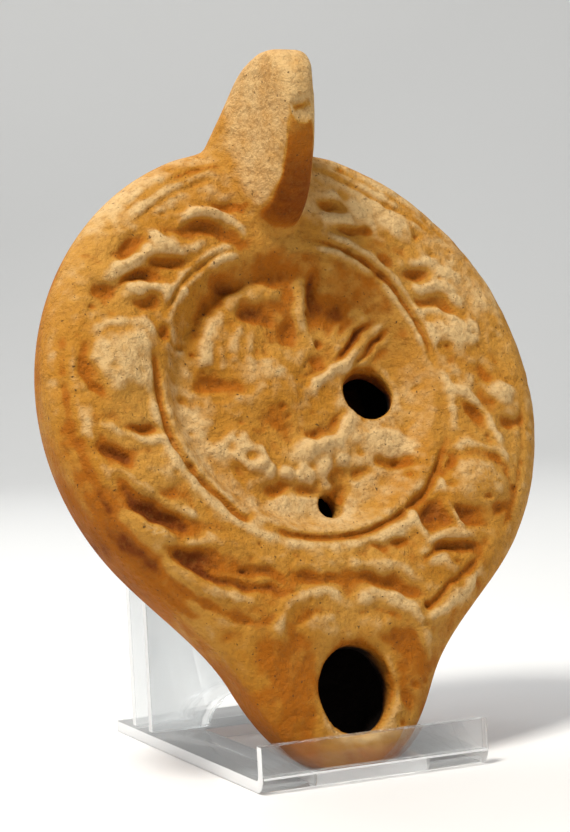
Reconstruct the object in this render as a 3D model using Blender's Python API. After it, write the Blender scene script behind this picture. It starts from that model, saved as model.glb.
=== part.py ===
"""A moulded clay oil lamp with a relief on its top, leaning on a clear display easel.

Metres, +Z up, +Y runs back. The origin is on the easel's underside, below the
middle of its upright. The lamp is drawn in its own frame, foot down: x to the
right, y from nozzle to handle, z up from the foot, with the picture field's
centre on the z axis. It is then seated in the easel as one rigid piece.
"""
import math

import bmesh
import bpy
import numpy as np
from mathutils import Matrix, Vector

MM = 0.001

# Lamp body
BODY_RADIUS = 0.0434
BODY_CENTRE = (0.0016, 0.0007)
BODY_WIDEST = 0.0212
SHOULDER_HEIGHT = 0.0262
SHOULDER_CROWN = 0.0008
EDGE_ROLL = 0.0049
BELLY_POWER = 2.05
WALL = 0.0042
FOOT_RADIUS = 0.0205
FOOT_HEIGHT = 0.0016
FOOT_RING = 0.0030
FOOT_RECESS = 0.0007

# Nozzle
NOZZLE_REACH = 0.0603
NOZZLE_RADIUS = 0.0134
NOZZLE_DRIFT = -0.0011
NOZZLE_WIDEST = 0.0208
NOZZLE_TOP_DROP = 0.0038
NOZZLE_START = 0.0340
FLANK_FILLET = 0.0182

# Discus, the sunken round picture field, and its two rings
DISCUS_RADIUS = 0.0243
DISCUS_DEPTH = 0.0034
DISCUS_SLOPE = 0.0045
RING_GAP = 0.0023
RING_RISE = 0.0006
RING_WIDTH = 0.0007

# Holes
FILL_RADIUS = 0.0042
FILL_MOUTH = 0.0051
FILL_AT = (0.0134, 0.0002)
AIR_RADIUS = 0.0013
AIR_MOUTH = 0.0022
AIR_AT = (0.0018, -0.0180)
AIR_LEAN = math.radians(22)
WICK_WIDTH = 0.0124
WICK_LENGTH = 0.0134
WICK_AT = -0.0480
WICK_FLARE = 1.10

# Handle, a solid fin, a little thicker at its back than at its front
HANDLE_TOP = 0.0461
HANDLE_SIDES = 24
HANDLE_SPREAD = 0.25
# Its slices from the root up: height, front, back, middle across, half width, and
# how square the corners are, from 1 for an ellipse down to 0 for a rectangle.
HANDLE_SLICES = (
    (0.0165, 0.0295, 0.0395, 0.0014, 0.0060, 1.0),
    (0.0195, 0.0276, 0.0430, 0.0010, 0.0078, 1.0),
    (0.0225, 0.0262, 0.0468, 0.0006, 0.0090, 1.0),
    (0.0255, 0.0262, 0.0494, 0.0008, 0.0082, 0.95),
    (0.0275, 0.0266, 0.0508, 0.0011, 0.0066, 0.8),
    (0.0300, 0.0276, 0.0522, 0.0012, 0.0054, 0.68),
    (0.0330, 0.0292, 0.0531, 0.0012, 0.0047, 0.6),
    (0.0360, 0.0312, 0.0534, 0.0010, 0.0042, 0.6),
    (0.0395, 0.0343, 0.0529, 0.0006, 0.0037, 0.6),
    (0.0425, 0.0378, 0.0516, 0.0002, 0.0034, 0.6),
    (0.0447, 0.0415, 0.0497, -0.0002, 0.0028, 0.7),
    (0.0457, 0.0440, 0.0480, -0.0003, 0.0018, 0.8),
)

# Easel, bent from one thickness of clear sheet
SHEET = 0.0020
TRAY_WIDTH = 0.0380
TRAY_DEPTH = 0.0668
LIP_HEIGHT = 0.0073
BEND_RADIUS = 0.0026
CUTOUT_WIDTH = 0.0190
CUTOUT_LENGTH = 0.0460
UPRIGHT_DEPTH = 0.0102
UPRIGHT_SETBACK = 0.0085
ARCH_WIDTH = 0.0170
ARCH_RISE = 0.0055
TRAY_BACK = UPRIGHT_SETBACK + UPRIGHT_DEPTH / 2.0
TRAY_FRONT = TRAY_BACK - TRAY_DEPTH

# How the lamp sits in the easel
LEAN = math.radians(19.94)
YAW = math.radians(4.88)
TURN = math.radians(-1.26)
SIDE_SHIFT = -0.0030
LIP_CLEARANCE = 0.0006
FLOOR_CLEARANCE = 0.0003
GAP = 0.0003

# Fineness of the solids. The body is drawn finely, then thinned where it is plain.
ANGLE_COUNT = 216
NOZZLE_EXTRA = 1.5
NOZZLE_SPREAD = math.radians(17)
DISCUS_STEPS = 26
SHOULDER_STEPS = 16
EDGE_STEPS = 4
BELLY_STEPS = 9
KEPT_SHARE = 0.25
CAVITY_ANGLES = 40
CAVITY_STEPS = 5
CAVITY_SHARES = (0.25, 0.45, 0.6, 0.72, 0.84, 0.93)
RING_STEPS = 8
LARGE_HOLE_SIDES = 24
AIR_HOLE_SIDES = 12
OVAL_SIDES = 28
SHARP_ANGLE = math.radians(38)

# Relief in millimetres, placed by (x, y) from the discus centre.
# A dome is (x, y, half length, half width, turn in degrees, height).
# A stroke is (height, half width, (x, y), (x, y), ...), a soft ridge, or a
# groove where its height is negative.
DOME_POWER = 0.8
DISCUS_DOMES = (
    (-12.6, -10.4, 4.0, 4.0, 0, 1.3),
    (-3.5, 2.0, 8.5, 5.5, -25, 1.0),
    (-5.4, -11.0, 2.6, 2.2, 0, 1.1),
    (-1.0, -12.2, 2.6, 2.2, 0, 1.1),
    (3.6, -9.6, 3.0, 2.2, 20, 0.9),
    (-12.0, 18.8, 3.4, 2.0, 20, -0.6),
    (-7.0, 12.6, 4.6, 3.0, 35, -0.9),
    (9.0, 14.5, 4.6, 3.6, -30, -1.0),
    (18.2, 8.0, 3.0, 3.6, 0, -0.8),
    (-13.5, 2.6, 4.6, 1.9, -10, -0.8),
    (3.8, 4.2, 2.4, 2.0, 0, -0.7),
    (-5.6, -16.2, 4.4, 1.5, 0, -0.7),
    (15.0, -13.0, 4.0, 1.3, 8, -0.7),
)
DISCUS_STROKES = (
    (1.1, 1.5, (-16.2, 6.6), (-14.0, 11.0), (-11.5, 14.5), (-8.5, 16.5), (-4.7, 17.7),
     (-0.5, 19.0)),
    (0.9, 1.4, (0.3, 18.7), (2.5, 16.0), (2.5, 12.0), (3.5, 9.0)),
    (1.0, 1.1, (17.6, 11.2), (10.4, 5.4), (5.4, 1.1), (0.5, -2.6)),
    (0.8, 0.9, (15.4, 13.3), (9.0, 7.4)),
    (0.8, 1.3, (1.8, -8.6), (7.2, -5.2)),
    (-0.8, 1.1, (-0.4, -6.8), (6.8, -3.4)),
)
SHOULDER_DOMES = (
    (-30.0, 6.4, 6.2, 6.4, 0, 1.1),
    (28.3, -16.7, 5.8, 5.6, 0, 1.1),
    (-29.4, -16.0, 6.0, 4.2, 40, 0.9),
    (30.2, 8.6, 4.6, 4.2, 0, 0.9),
    (-20.0, 29.0, 6.0, 3.0, 40, 0.8),
    (25.0, 25.5, 5.4, 3.2, -42, 0.9),
    (-22.0, 17.6, 3.4, 1.4, 10, -0.9),
    (-31.4, 17.8, 2.4, 1.6, 50, -0.9),
    (-26.1, 24.6, 2.4, 1.6, 45, -0.8),
    (-9.8, 30.4, 5.0, 1.7, 12, -0.9),
    (14.6, 32.8, 3.4, 1.6, -25, -0.9),
    (16.0, 27.4, 2.8, 1.4, -30, -0.9),
    (25.0, 20.6, 4.4, 1.5, -25, -0.9),
    (28.2, 13.6, 5.0, 1.2, -5, -0.8),
    (36.6, -6.6, 1.8, 3.0, 0, -0.8),
    (31.6, -4.8, 1.3, 2.8, 25, -0.8),
    (19.3, -21.0, 2.8, 2.8, 0, -0.9),
    (23.6, -27.2, 3.6, 1.4, 20, -0.8),
    (8.5, -32.2, 5.6, 1.5, -15, -0.9),
    (-28.4, -4.7, 3.2, 1.3, 0, -0.9),
    (-34.0, -8.6, 3.8, 1.5, -28, -0.9),
    (-27.4, -19.6, 5.4, 1.7, -26, -0.9),
)
SHOULDER_STROKES = (
    (0.9, 1.2, (-28.0, 18.4), (-23.5, 20.4), (-17.5, 19.6)),
    (0.9, 1.2, (-16.4, 26.4), (-9.5, 27.6), (-4.8, 28.8)),
    (0.9, 1.2, (8.2, 26.6), (13.8, 30.2), (19.0, 31.0)),
    (0.9, 1.2, (20.0, 17.2), (27.0, 17.4), (34.0, 15.8)),
    (0.9, 1.1, (37.0, -2.2), (33.4, -8.4), (34.6, -12.0)),
    (0.9, 1.1, (20.4, -15.6), (24.0, -24.0), (17.2, -26.0), (14.6, -20.4)),
    (0.9, 1.2, (-37.2, -2.4), (-31.0, -6.8), (-27.0, -9.6)),
    (-0.8, 1.0, (-27.0, -24.4), (-18.0, -28.6), (-9.0, -31.6)),
    (0.8, 1.0, (-29.0, -25.6), (-19.0, -30.8), (-10.5, -33.0)),
    (0.8, 1.0, (12.6, -27.4), (19.5, -30.4), (26.5, -25.6)),
)
VOLUTE_STROKES = (
    (0.9, 1.2, (0.7, -36.0), (3.0, -34.0), (6.0, -33.5), (10.0, -35.3), (12.4, -39.0),
     (12.3, -41.6)),
    (0.9, 1.2, (-12.6, -39.0), (-12.0, -36.0), (-9.0, -33.6), (-5.0, -33.2), (-1.4, -35.2)),
)
# The groove around the shoulder's outer edge, as two arcs about the axis, in
# degrees, each fading in and out.
EDGE_GROOVE_RADIUS = 39.2
EDGE_GROOVE_DEPTH = 0.7
EDGE_GROOVE_WIDTH = 0.9
EDGE_GROOVE_FADE = 8.0
EDGE_GROOVE_ARCS = ((-58, 96), (104, 240))


def wipe_scene():
    for item in list(bpy.data.objects):
        bpy.data.objects.remove(item, do_unlink=True)


def new_collection(name):
    made = bpy.data.collections.new(name)
    bpy.context.scene.collection.children.link(made)
    return made


def clay_material():
    made = bpy.data.materials.new("fired_clay")
    made.use_nodes = True
    shader = made.node_tree.nodes["Principled BSDF"]
    shader.inputs["Base Color"].default_value = (0.56, 0.29, 0.11, 1.0)
    shader.inputs["Roughness"].default_value = 0.7
    shader.inputs["Metallic"].default_value = 0.0
    return made


def clear_material(name):
    made = bpy.data.materials.new(name)
    made.use_nodes = True
    shader = made.node_tree.nodes["Principled BSDF"]
    shader.inputs["Base Color"].default_value = (0.93, 0.96, 0.98, 1.0)
    shader.inputs["Roughness"].default_value = 0.04
    shader.inputs["Metallic"].default_value = 0.0
    shader.inputs["Transmission Weight"].default_value = 1.0
    shader.inputs["IOR"].default_value = 1.49
    return made


def smooth_step(value):
    share = np.clip(value, 0.0, 1.0)
    return share * share * (3.0 - 2.0 * share)


def smooth_min(first, second, width):
    share = np.clip(1.0 - np.abs(first - second) / width, 0.0, 1.0)
    return np.minimum(first, second) - share * share * width / 4.0


def outline_distance(x, y):
    """Signed distance to the lamp's plan outline: a disc run into a round nozzle."""
    body = np.hypot(x - BODY_CENTRE[0], y - BODY_CENTRE[1]) - BODY_RADIUS
    centre = -(NOZZLE_REACH - NOZZLE_RADIUS)
    along = np.maximum(centre - y, 0.0)
    aside = x - NOZZLE_DRIFT * np.clip(y / centre, 0.0, 1.0)
    nozzle = np.hypot(aside, along) - NOZZLE_RADIUS
    nozzle = np.maximum(nozzle, y)
    return smooth_min(body, nozzle, FLANK_FILLET)


def outline_radius(angles, inset):
    """Radius at each angle where the outline, moved in by inset, is reached."""
    low = np.full_like(angles, FOOT_RADIUS)
    high = np.full_like(angles, NOZZLE_REACH * 1.2)
    for _ in range(40):
        middle = (low + high) / 2.0
        outside = outline_distance(middle * np.cos(angles), middle * np.sin(angles)) + inset > 0.0
        high = np.where(outside, middle, high)
        low = np.where(outside, low, middle)
    return (low + high) / 2.0


def ray_angles(count):
    """Angles around the axis, closer together towards the nozzle."""
    fine = np.linspace(0.0, 2.0 * math.pi, 2881)
    off_nozzle = np.abs(np.angle(np.exp(1j * (fine + math.pi / 2.0))))
    density = 1.0 + NOZZLE_EXTRA * np.exp(-(off_nozzle / NOZZLE_SPREAD) ** 2)
    total = np.concatenate([[0.0], np.cumsum((density[1:] + density[:-1]) / 2.0)])
    wanted = np.arange(count) / count * total[-1]
    return np.interp(wanted, total, fine)


def nozzle_share(y):
    return smooth_step((-y - NOZZLE_START) / (NOZZLE_REACH - NOZZLE_START))


def widest_height(y):
    return BODY_WIDEST + (NOZZLE_WIDEST - BODY_WIDEST) * nozzle_share(y)


def crown_height(x, y):
    """The plain top, before relief and before its edge rolls over."""
    radius = np.hypot(x, y)
    crest = (DISCUS_RADIUS + BODY_RADIUS) / 2.0
    half = BODY_RADIUS - crest
    swell = SHOULDER_CROWN * np.clip(1.0 - ((radius - crest) / half) ** 2, 0.0, 1.0)
    sunk = DISCUS_DEPTH * smooth_step((DISCUS_RADIUS - radius) / DISCUS_SLOPE)
    return SHOULDER_HEIGHT + swell - sunk - NOZZLE_TOP_DROP * nozzle_share(y)


def dome(x, y, place):
    centre_x, centre_y, half_length, half_width, turn, height = place
    cosine = math.cos(math.radians(turn))
    sine = math.sin(math.radians(turn))
    along = ((x - centre_x) * cosine + (y - centre_y) * sine) / half_length
    across = ((y - centre_y) * cosine - (x - centre_x) * sine) / half_width
    return height * np.clip(1.0 - along ** 2 - across ** 2, 0.0, 1.0) ** DOME_POWER


def stroke(x, y, marks):
    height, half_width = marks[:2]
    nearest = np.full(np.shape(x), 1e9)
    for start, end in zip(marks[2:-1], marks[3:]):
        run_x = end[0] - start[0]
        run_y = end[1] - start[1]
        share = ((x - start[0]) * run_x + (y - start[1]) * run_y) / (run_x ** 2 + run_y ** 2)
        share = np.clip(share, 0.0, 1.0)
        away = np.hypot(x - start[0] - share * run_x, y - start[1] - share * run_y)
        nearest = np.minimum(nearest, away)
    return height * np.exp(-(nearest / half_width) ** 2)


def edge_groove(x, y):
    radius = np.hypot(x, y)
    angle = np.degrees(np.arctan2(y, x))
    total = np.zeros(np.shape(x))
    for first, last in EDGE_GROOVE_ARCS:
        into = np.mod(angle - first, 360.0)
        ends = smooth_step(into / EDGE_GROOVE_FADE)
        ends = ends * smooth_step((last - first - into) / EDGE_GROOVE_FADE)
        total = total - EDGE_GROOVE_DEPTH * ends
    return total * np.exp(-((radius - EDGE_GROOVE_RADIUS) / EDGE_GROOVE_WIDTH) ** 2)


def rings(x, y):
    radius = np.hypot(x, y)
    total = np.zeros(np.shape(x))
    for ring in (DISCUS_RADIUS, DISCUS_RADIUS + RING_GAP):
        total = total + RING_RISE * np.exp(-((radius - ring) / RING_WIDTH) ** 2)
    return total


def relief_height(x, y):
    """Relief on the top, in metres, for places given in metres."""
    wide = x / MM
    deep = y / MM
    total = edge_groove(wide, deep)
    for place in DISCUS_DOMES + SHOULDER_DOMES:
        total = total + dome(wide, deep, place)
    for marks in DISCUS_STROKES + SHOULDER_STROKES + VOLUTE_STROKES:
        total = total + stroke(wide, deep, marks)
    return total * MM + rings(x, y)


def top_height(x, y):
    inward = np.clip(-outline_distance(x, y) / EDGE_ROLL, 0.0, 1.0)
    roll = np.sqrt(np.clip(1.0 - (1.0 - inward) ** 2, 0.0, 1.0))
    low = widest_height(y)
    return low + (crown_height(x, y) + relief_height(x, y) - low) * roll


def under_height(share, y):
    """Height of the underside at a share of the way from the foot to the outline."""
    high = widest_height(y)
    return high - (high - FOOT_HEIGHT) * (1.0 - share ** BELLY_POWER) ** (1.0 / BELLY_POWER)


def grid_mesh(name, levels, top, bottom):
    """A closed mesh from stacked rings of points and a point at each end."""
    count = len(levels[0])
    points = [tuple(top)]
    for level in levels:
        points.extend(tuple(point) for point in level)
    points.append(tuple(bottom))
    faces = []
    for index in range(count):
        follow = (index + 1) % count
        faces.append((0, 1 + index, 1 + follow))
        for row in range(len(levels) - 1):
            upper = 1 + row * count
            lower = upper + count
            faces.append((upper + index, lower + index, lower + follow, upper + follow))
        last = 1 + (len(levels) - 1) * count
        faces.append((len(points) - 1, last + follow, last + index))
    made = bpy.data.meshes.new(name)
    made.from_pydata(points, [], faces)
    made.validate()
    return made


def ring_points(angles, radii, heights):
    return np.stack([radii * np.cos(angles), radii * np.sin(angles), heights], axis=1)


def body_levels(angles):
    """Rings of the outer surface, from the discus centre out, under and in to the foot."""
    edge = outline_radius(angles, 0.0)
    shoulder = DISCUS_RADIUS + RING_GAP + 2.0 * RING_WIDTH
    inner = DISCUS_RADIUS - 2.0 * RING_WIDTH
    stations = []
    for step in range(1, DISCUS_STEPS + 1):
        stations.append(np.full_like(angles, inner * step / DISCUS_STEPS))
    for step in range(1, RING_STEPS + 1):
        stations.append(np.full_like(angles, inner + (shoulder - inner) * step / RING_STEPS))
    for step in range(1, SHOULDER_STEPS + 1):
        stations.append(shoulder + (edge - EDGE_ROLL - shoulder) * step / SHOULDER_STEPS)
    for step in range(1, EDGE_STEPS):
        sine = math.sin(step / EDGE_STEPS * math.pi / 2.0)
        stations.append(edge - EDGE_ROLL * (1.0 - sine))
    levels = []
    for radii in stations:
        heights = top_height(radii * np.cos(angles), radii * np.sin(angles))
        levels.append(ring_points(angles, radii, heights))
    for step in range(BELLY_STEPS + 1):
        share = math.cos(step / BELLY_STEPS * math.pi / 2.0)
        radii = FOOT_RADIUS + (edge - FOOT_RADIUS) * share
        heights = under_height(share, radii * np.sin(angles))
        levels.append(ring_points(angles, radii, heights))
    ring = FOOT_RADIUS - FOOT_RING
    foot = ((FOOT_RADIUS - FOOT_RECESS / 2.0, 0.0), (ring, 0.0), (ring - FOOT_RECESS, FOOT_RECESS))
    for radius, height in foot:
        flat = np.full_like(angles, radius)
        levels.append(ring_points(angles, flat, np.full_like(angles, height)))
    return levels


def body_mesh():
    levels = body_levels(ray_angles(ANGLE_COUNT))
    centre = np.zeros(1)
    top = (0.0, 0.0, float(top_height(centre, centre)[0]))
    return grid_mesh("lamp", levels, top, (0.0, 0.0, FOOT_RECESS))


def cavity_mesh():
    """The hollow inside: the outer form without relief, moved in by the wall."""
    angles = ray_angles(CAVITY_ANGLES)
    edge = outline_radius(angles, WALL)
    levels = []
    for share in CAVITY_SHARES:
        radii = edge * share
        x = radii * np.cos(angles)
        y = radii * np.sin(angles)
        inward = np.clip((-outline_distance(x, y) - WALL) / EDGE_ROLL, 0.0, 1.0)
        roll = np.sqrt(np.clip(1.0 - (1.0 - inward) ** 2, 0.0, 1.0))
        low = widest_height(y)
        levels.append(ring_points(angles, radii, low + (crown_height(x, y) - WALL - low) * roll))
    for step in range(CAVITY_STEPS + 1):
        share = math.cos(step / CAVITY_STEPS * math.pi / 2.0)
        radii = FOOT_RADIUS - WALL / 2.0 + (edge - FOOT_RADIUS + WALL / 2.0) * share
        high = widest_height(radii * np.sin(angles))
        low = FOOT_HEIGHT + WALL
        heights = high - (high - low) * math.sqrt(1.0 - share ** 2)
        levels.append(ring_points(angles, radii, heights))
    centre = np.zeros(1)
    top = (0.0, 0.0, float(crown_height(centre, centre)[0]) - WALL)
    return grid_mesh("cavity", levels, top, (0.0, 0.0, FOOT_HEIGHT + WALL))


def handle_mesh():
    """The fin: level slices, each between an ellipse and a rectangle."""
    levels = []
    for height, front, back, across, half, corner in reversed(HANDLE_SLICES):
        ring = []
        for index in range(HANDLE_SIDES):
            angle = 2.0 * math.pi * index / HANDLE_SIDES
            cosine = math.cos(angle)
            sine = math.sin(angle)
            depth = math.copysign(abs(sine) ** corner, sine)
            width = half * (1.0 + HANDLE_SPREAD * depth) * math.copysign(abs(cosine) ** corner, cosine)
            y = (front + back) / 2.0 + (back - front) / 2.0 * depth
            ring.append((across + width, y, height))
        levels.append(ring)
    front, back, across = HANDLE_SLICES[-1][1:4]
    top = (across, (front + back) / 2.0, HANDLE_TOP)
    height, front, back, across = HANDLE_SLICES[0][:4]
    bottom = (across, (front + back) / 2.0, height)
    return grid_mesh("handle", levels, top, bottom)


def cone_cutter(name, radius_low, radius_high, depth, sides):
    """A round cutter whose wide end is up, its middle at the origin."""
    shape = bmesh.new()
    bmesh.ops.create_cone(shape, cap_ends=True, segments=sides, radius1=radius_low,
                          radius2=radius_high, depth=depth)
    made = bpy.data.meshes.new(name)
    shape.to_mesh(made)
    shape.free()
    return made


def add_object(name, mesh, collection, matrix, material=None):
    made = bpy.data.objects.new(name, mesh)
    made.matrix_world = matrix
    collection.objects.link(made)
    if material is not None:
        mesh.materials.append(material)
        mesh.shade_smooth()
        mesh.set_sharp_from_angle(angle=SHARP_ANGLE)
    return made


def add_cutter(name, mesh, collection, matrix):
    made = add_object(name, mesh, collection, matrix)
    made.hide_render = True
    made.display_type = "WIRE"
    return made


def add_boolean(target, other, operation):
    step = target.modifiers.new(other.name, "BOOLEAN")
    step.operation = operation
    step.object = other
    step.solver = "EXACT"


def seat_matrix(mesh):
    """Leans the lamp back, sets its tip behind the lip and just above the shelf."""
    turned = (Matrix.Rotation(YAW, 4, "Z") @ Matrix.Rotation(math.pi / 2.0 - LEAN, 4, "X")
              @ Matrix.Rotation(TURN, 4, "Z"))
    placed = [turned @ vertex.co for vertex in mesh.vertices]
    lowest = min(point.z for point in placed)
    rise = FLOOR_CLEARANCE - lowest
    near_lip = [point.y for point in placed if point.z + rise < LIP_HEIGHT]
    forward = TRAY_FRONT + SHEET + LIP_CLEARANCE - min(near_lip)
    return Matrix.Translation((SIDE_SHIFT, forward, rise)) @ turned


def build_lamp(parts, cutters, material):
    mesh = body_mesh()
    seat = seat_matrix(mesh)
    lamp = add_object("lamp", mesh, parts, seat, material)
    handle = add_cutter("lamp_handle", handle_mesh(), cutters, seat)
    cavity = add_cutter("lamp_cavity", cavity_mesh(), cutters, seat)
    reach = SHOULDER_HEIGHT - WALL
    fill = cone_cutter("lamp_fill_hole", FILL_RADIUS, FILL_MOUTH, 2.0 * WALL, LARGE_HOLE_SIDES)
    fill_at = Matrix.Translation((FILL_AT[0], FILL_AT[1], reach - WALL / 4.0))
    air = cone_cutter("lamp_air_hole", AIR_RADIUS, AIR_MOUTH, 2.0 * WALL, AIR_HOLE_SIDES)
    air_at = Matrix.Translation((AIR_AT[0], AIR_AT[1], reach)) @ Matrix.Rotation(AIR_LEAN, 4, "Y")
    wick = cone_cutter("lamp_wick_hole", 0.5, WICK_FLARE / 2.0, 1.0, OVAL_SIDES)
    wick_size = Matrix.Diagonal((WICK_WIDTH, WICK_LENGTH, 3.0 * WALL, 1.0))
    wick.transform(Matrix.Translation((0.0, WICK_AT, reach - WALL / 2.0)) @ wick_size)
    thin = lamp.modifiers.new("thin", "DECIMATE")
    thin.ratio = KEPT_SHARE
    add_boolean(lamp, handle, "UNION")
    add_boolean(lamp, cavity, "DIFFERENCE")
    add_boolean(lamp, add_cutter("lamp_fill_hole", fill, cutters, seat @ fill_at), "DIFFERENCE")
    add_boolean(lamp, add_cutter("lamp_air_hole", air, cutters, seat @ air_at), "DIFFERENCE")
    add_boolean(lamp, add_cutter("lamp_wick_hole", wick, cutters, seat), "DIFFERENCE")
    return seat


def bent_strip(outline, width):
    """A closed prism, as wide as width along X, from its side outline (y, z)."""
    shape = bmesh.new()
    left = [shape.verts.new((-width / 2.0, y, z)) for y, z in outline]
    right = [shape.verts.new((width / 2.0, y, z)) for y, z in outline]
    shape.faces.new(list(reversed(left)))
    shape.faces.new(right)
    for index in range(len(outline)):
        follow = (index + 1) % len(outline)
        shape.faces.new((left[index], left[follow], right[follow], right[index]))
    bmesh.ops.recalc_face_normals(shape, faces=shape.faces)
    made = bpy.data.meshes.new("strip")
    shape.to_mesh(made)
    shape.free()
    return made


def arc_points(centre, radius, start, end, steps):
    """Points (y, z) on an arc, angles in degrees from +Y towards +Z."""
    points = []
    for index in range(steps + 1):
        angle = math.radians(start + (end - start) * index / steps)
        points.append((centre[0] + radius * math.cos(angle), centre[1] + radius * math.sin(angle)))
    return points


def box_mesh(name, low, high):
    shape = bmesh.new()
    bmesh.ops.create_cube(shape, size=1.0)
    size = Vector(high) - Vector(low)
    middle = (Vector(high) + Vector(low)) / 2.0
    bmesh.ops.transform(shape, verts=shape.verts,
                        matrix=Matrix.Translation(middle) @ Matrix.Diagonal((*size, 1.0)))
    made = bpy.data.meshes.new(name)
    shape.to_mesh(made)
    shape.free()
    return made


def build_tray(parts, cutters, material):
    """Base plate and front lip, one sheet with a rounded bend and a long cut-out."""
    front = TRAY_FRONT
    centre = (front + BEND_RADIUS, BEND_RADIUS)
    outline = arc_points(centre, BEND_RADIUS, 270, 180, 5)
    outline += [(front, LIP_HEIGHT), (front + SHEET, LIP_HEIGHT)]
    outline += arc_points(centre, BEND_RADIUS - SHEET, 180, 270, 3)
    outline += [(TRAY_BACK, SHEET), (TRAY_BACK, 0.0)]
    tray = add_object("stand_tray", bent_strip(outline, TRAY_WIDTH), parts, Matrix(), material)
    start = front + BEND_RADIUS
    low = (-CUTOUT_WIDTH / 2.0, start, -SHEET)
    high = (CUTOUT_WIDTH / 2.0, start + CUTOUT_LENGTH, 2.0 * SHEET)
    cutter = add_cutter("tray_cutout", box_mesh("tray_cutout", low, high), cutters, Matrix())
    add_boolean(tray, cutter, "DIFFERENCE")


def upright_height(seat):
    """Height at which the upright's round top meets the plane of the lamp's foot."""
    outward = -(seat.to_3x3() @ Vector((0.0, 0.0, 1.0)))
    foot = seat.translation
    radius = UPRIGHT_DEPTH / 2.0
    reach = radius + GAP + abs(outward.x) * TRAY_WIDTH / 2.0
    side = -outward.x * foot.x - outward.y * foot.y
    return foot.z + (reach - side) / outward.z + radius


def build_upright(parts, cutters, material, seat):
    """The back rest: a sheet folded over into two legs, arched where it meets the tray."""
    radius = UPRIGHT_DEPTH / 2.0
    foot = SHEET + GAP
    top = upright_height(seat) - radius
    outline = [(SHEET - radius, foot), (-radius, foot)]
    outline += arc_points((0.0, top), radius, 180, 0, 10)
    outline += [(radius, foot), (radius - SHEET, foot)]
    outline += arc_points((0.0, top), radius - SHEET, 0, 180, 8)
    upright = add_object("stand_upright", bent_strip(outline, TRAY_WIDTH), parts, Matrix(), material)
    arch = cone_cutter("upright_arch", 0.5, 0.5, 1.0, OVAL_SIDES)
    stretch = Matrix.Diagonal((ARCH_WIDTH, 2.0 * ARCH_RISE, 2.0 * UPRIGHT_DEPTH, 1.0))
    laid = Matrix.Rotation(math.pi / 2.0, 4, "X") @ stretch
    arch.transform(Matrix.Translation((0.0, 0.0, foot)) @ laid)
    add_boolean(upright, add_cutter("upright_arch", arch, cutters, Matrix()), "DIFFERENCE")


def main():
    wipe_scene()
    parts = new_collection("oil_lamp_on_easel")
    cutters = new_collection("cutters")
    seat = build_lamp(parts, cutters, clay_material())
    build_tray(parts, cutters, clear_material("clear_sheet_tray"))
    build_upright(parts, cutters, clear_material("clear_sheet_upright"), seat)


main()
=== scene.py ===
"""Looks for the moulded clay oil lamp on its clear easel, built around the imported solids.

The lamp is modelled in its own frame, foot down, and seated as in the solids. Its relief
is drawn on a fine height map in millimetres from the picture field's centre.
"""

import math

import bmesh
import bpy
import numpy as np
from mathutils import Matrix, Vector


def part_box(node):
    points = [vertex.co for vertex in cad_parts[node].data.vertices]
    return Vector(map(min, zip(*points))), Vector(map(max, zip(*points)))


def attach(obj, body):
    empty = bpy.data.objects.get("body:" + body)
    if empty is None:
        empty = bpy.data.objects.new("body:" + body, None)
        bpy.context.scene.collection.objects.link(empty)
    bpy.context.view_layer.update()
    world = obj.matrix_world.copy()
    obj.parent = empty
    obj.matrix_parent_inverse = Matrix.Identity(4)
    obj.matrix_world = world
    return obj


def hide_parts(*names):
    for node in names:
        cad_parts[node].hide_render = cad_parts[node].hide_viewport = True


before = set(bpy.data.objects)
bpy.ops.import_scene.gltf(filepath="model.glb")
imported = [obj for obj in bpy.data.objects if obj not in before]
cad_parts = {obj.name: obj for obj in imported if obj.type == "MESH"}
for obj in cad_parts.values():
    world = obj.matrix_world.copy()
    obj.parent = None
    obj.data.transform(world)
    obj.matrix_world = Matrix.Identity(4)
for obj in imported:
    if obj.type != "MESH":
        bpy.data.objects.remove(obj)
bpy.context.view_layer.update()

MM = 0.001

# Lamp body in millimetres, as in the solids
BODY_RADIUS = 43.4
BODY_CENTRE = (1.6, 0.7)
BODY_WIDEST = 21.2
SHOULDER_HEIGHT = 26.2
SHOULDER_CROWN = 0.8
EDGE_ROLL = 4.9
BELLY_POWER = 2.05
WALL = 4.2
FOOT_RADIUS = 20.5
FOOT_HEIGHT = 1.6
FOOT_RING = 3.0
FOOT_RECESS = 0.7
NOZZLE_REACH = 60.3
NOZZLE_RADIUS = 13.4
NOZZLE_DRIFT = -1.1
NOZZLE_WIDEST = 20.8
NOZZLE_TOP_DROP = 3.8
NOZZLE_START = 34.0
FLANK_FILLET = 18.2
DISCUS_RADIUS = 24.3
DISCUS_DEPTH = 3.4
DISCUS_SLOPE = 4.5

# Holes in millimetres, each with the rounding of its rim. The filling hole and the air hole
# are placed and leaned a little otherwise than in the solids. Cutters reach past both faces.
FILL_RADIUS = 4.2
FILL_AT = (13.8, 0.2)
FILL_LEAN = (math.radians(9.0), math.radians(-13.0))
FILL_RIM = 1.2
AIR_RADIUS = 2.0
AIR_AT = (2.8, -18.3)
AIR_RIM = 0.9
AIR_LEAN = math.radians(4)
WICK_HALF = (6.2, 6.7)
WICK_AT = (0.0, -48.0)
WICK_RIM = 1.5
HOLE_OVERCUT = 0.1
WICK_OVERCUT = 0.15
HOLE_HALF_DEPTH = 6.0
WICK_HALF_DEPTH = 9.0
TUBE_UNEVEN = 0.025
TUBE_ROUND = 3.0
TUBE_LUMPS = 1.6

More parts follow.
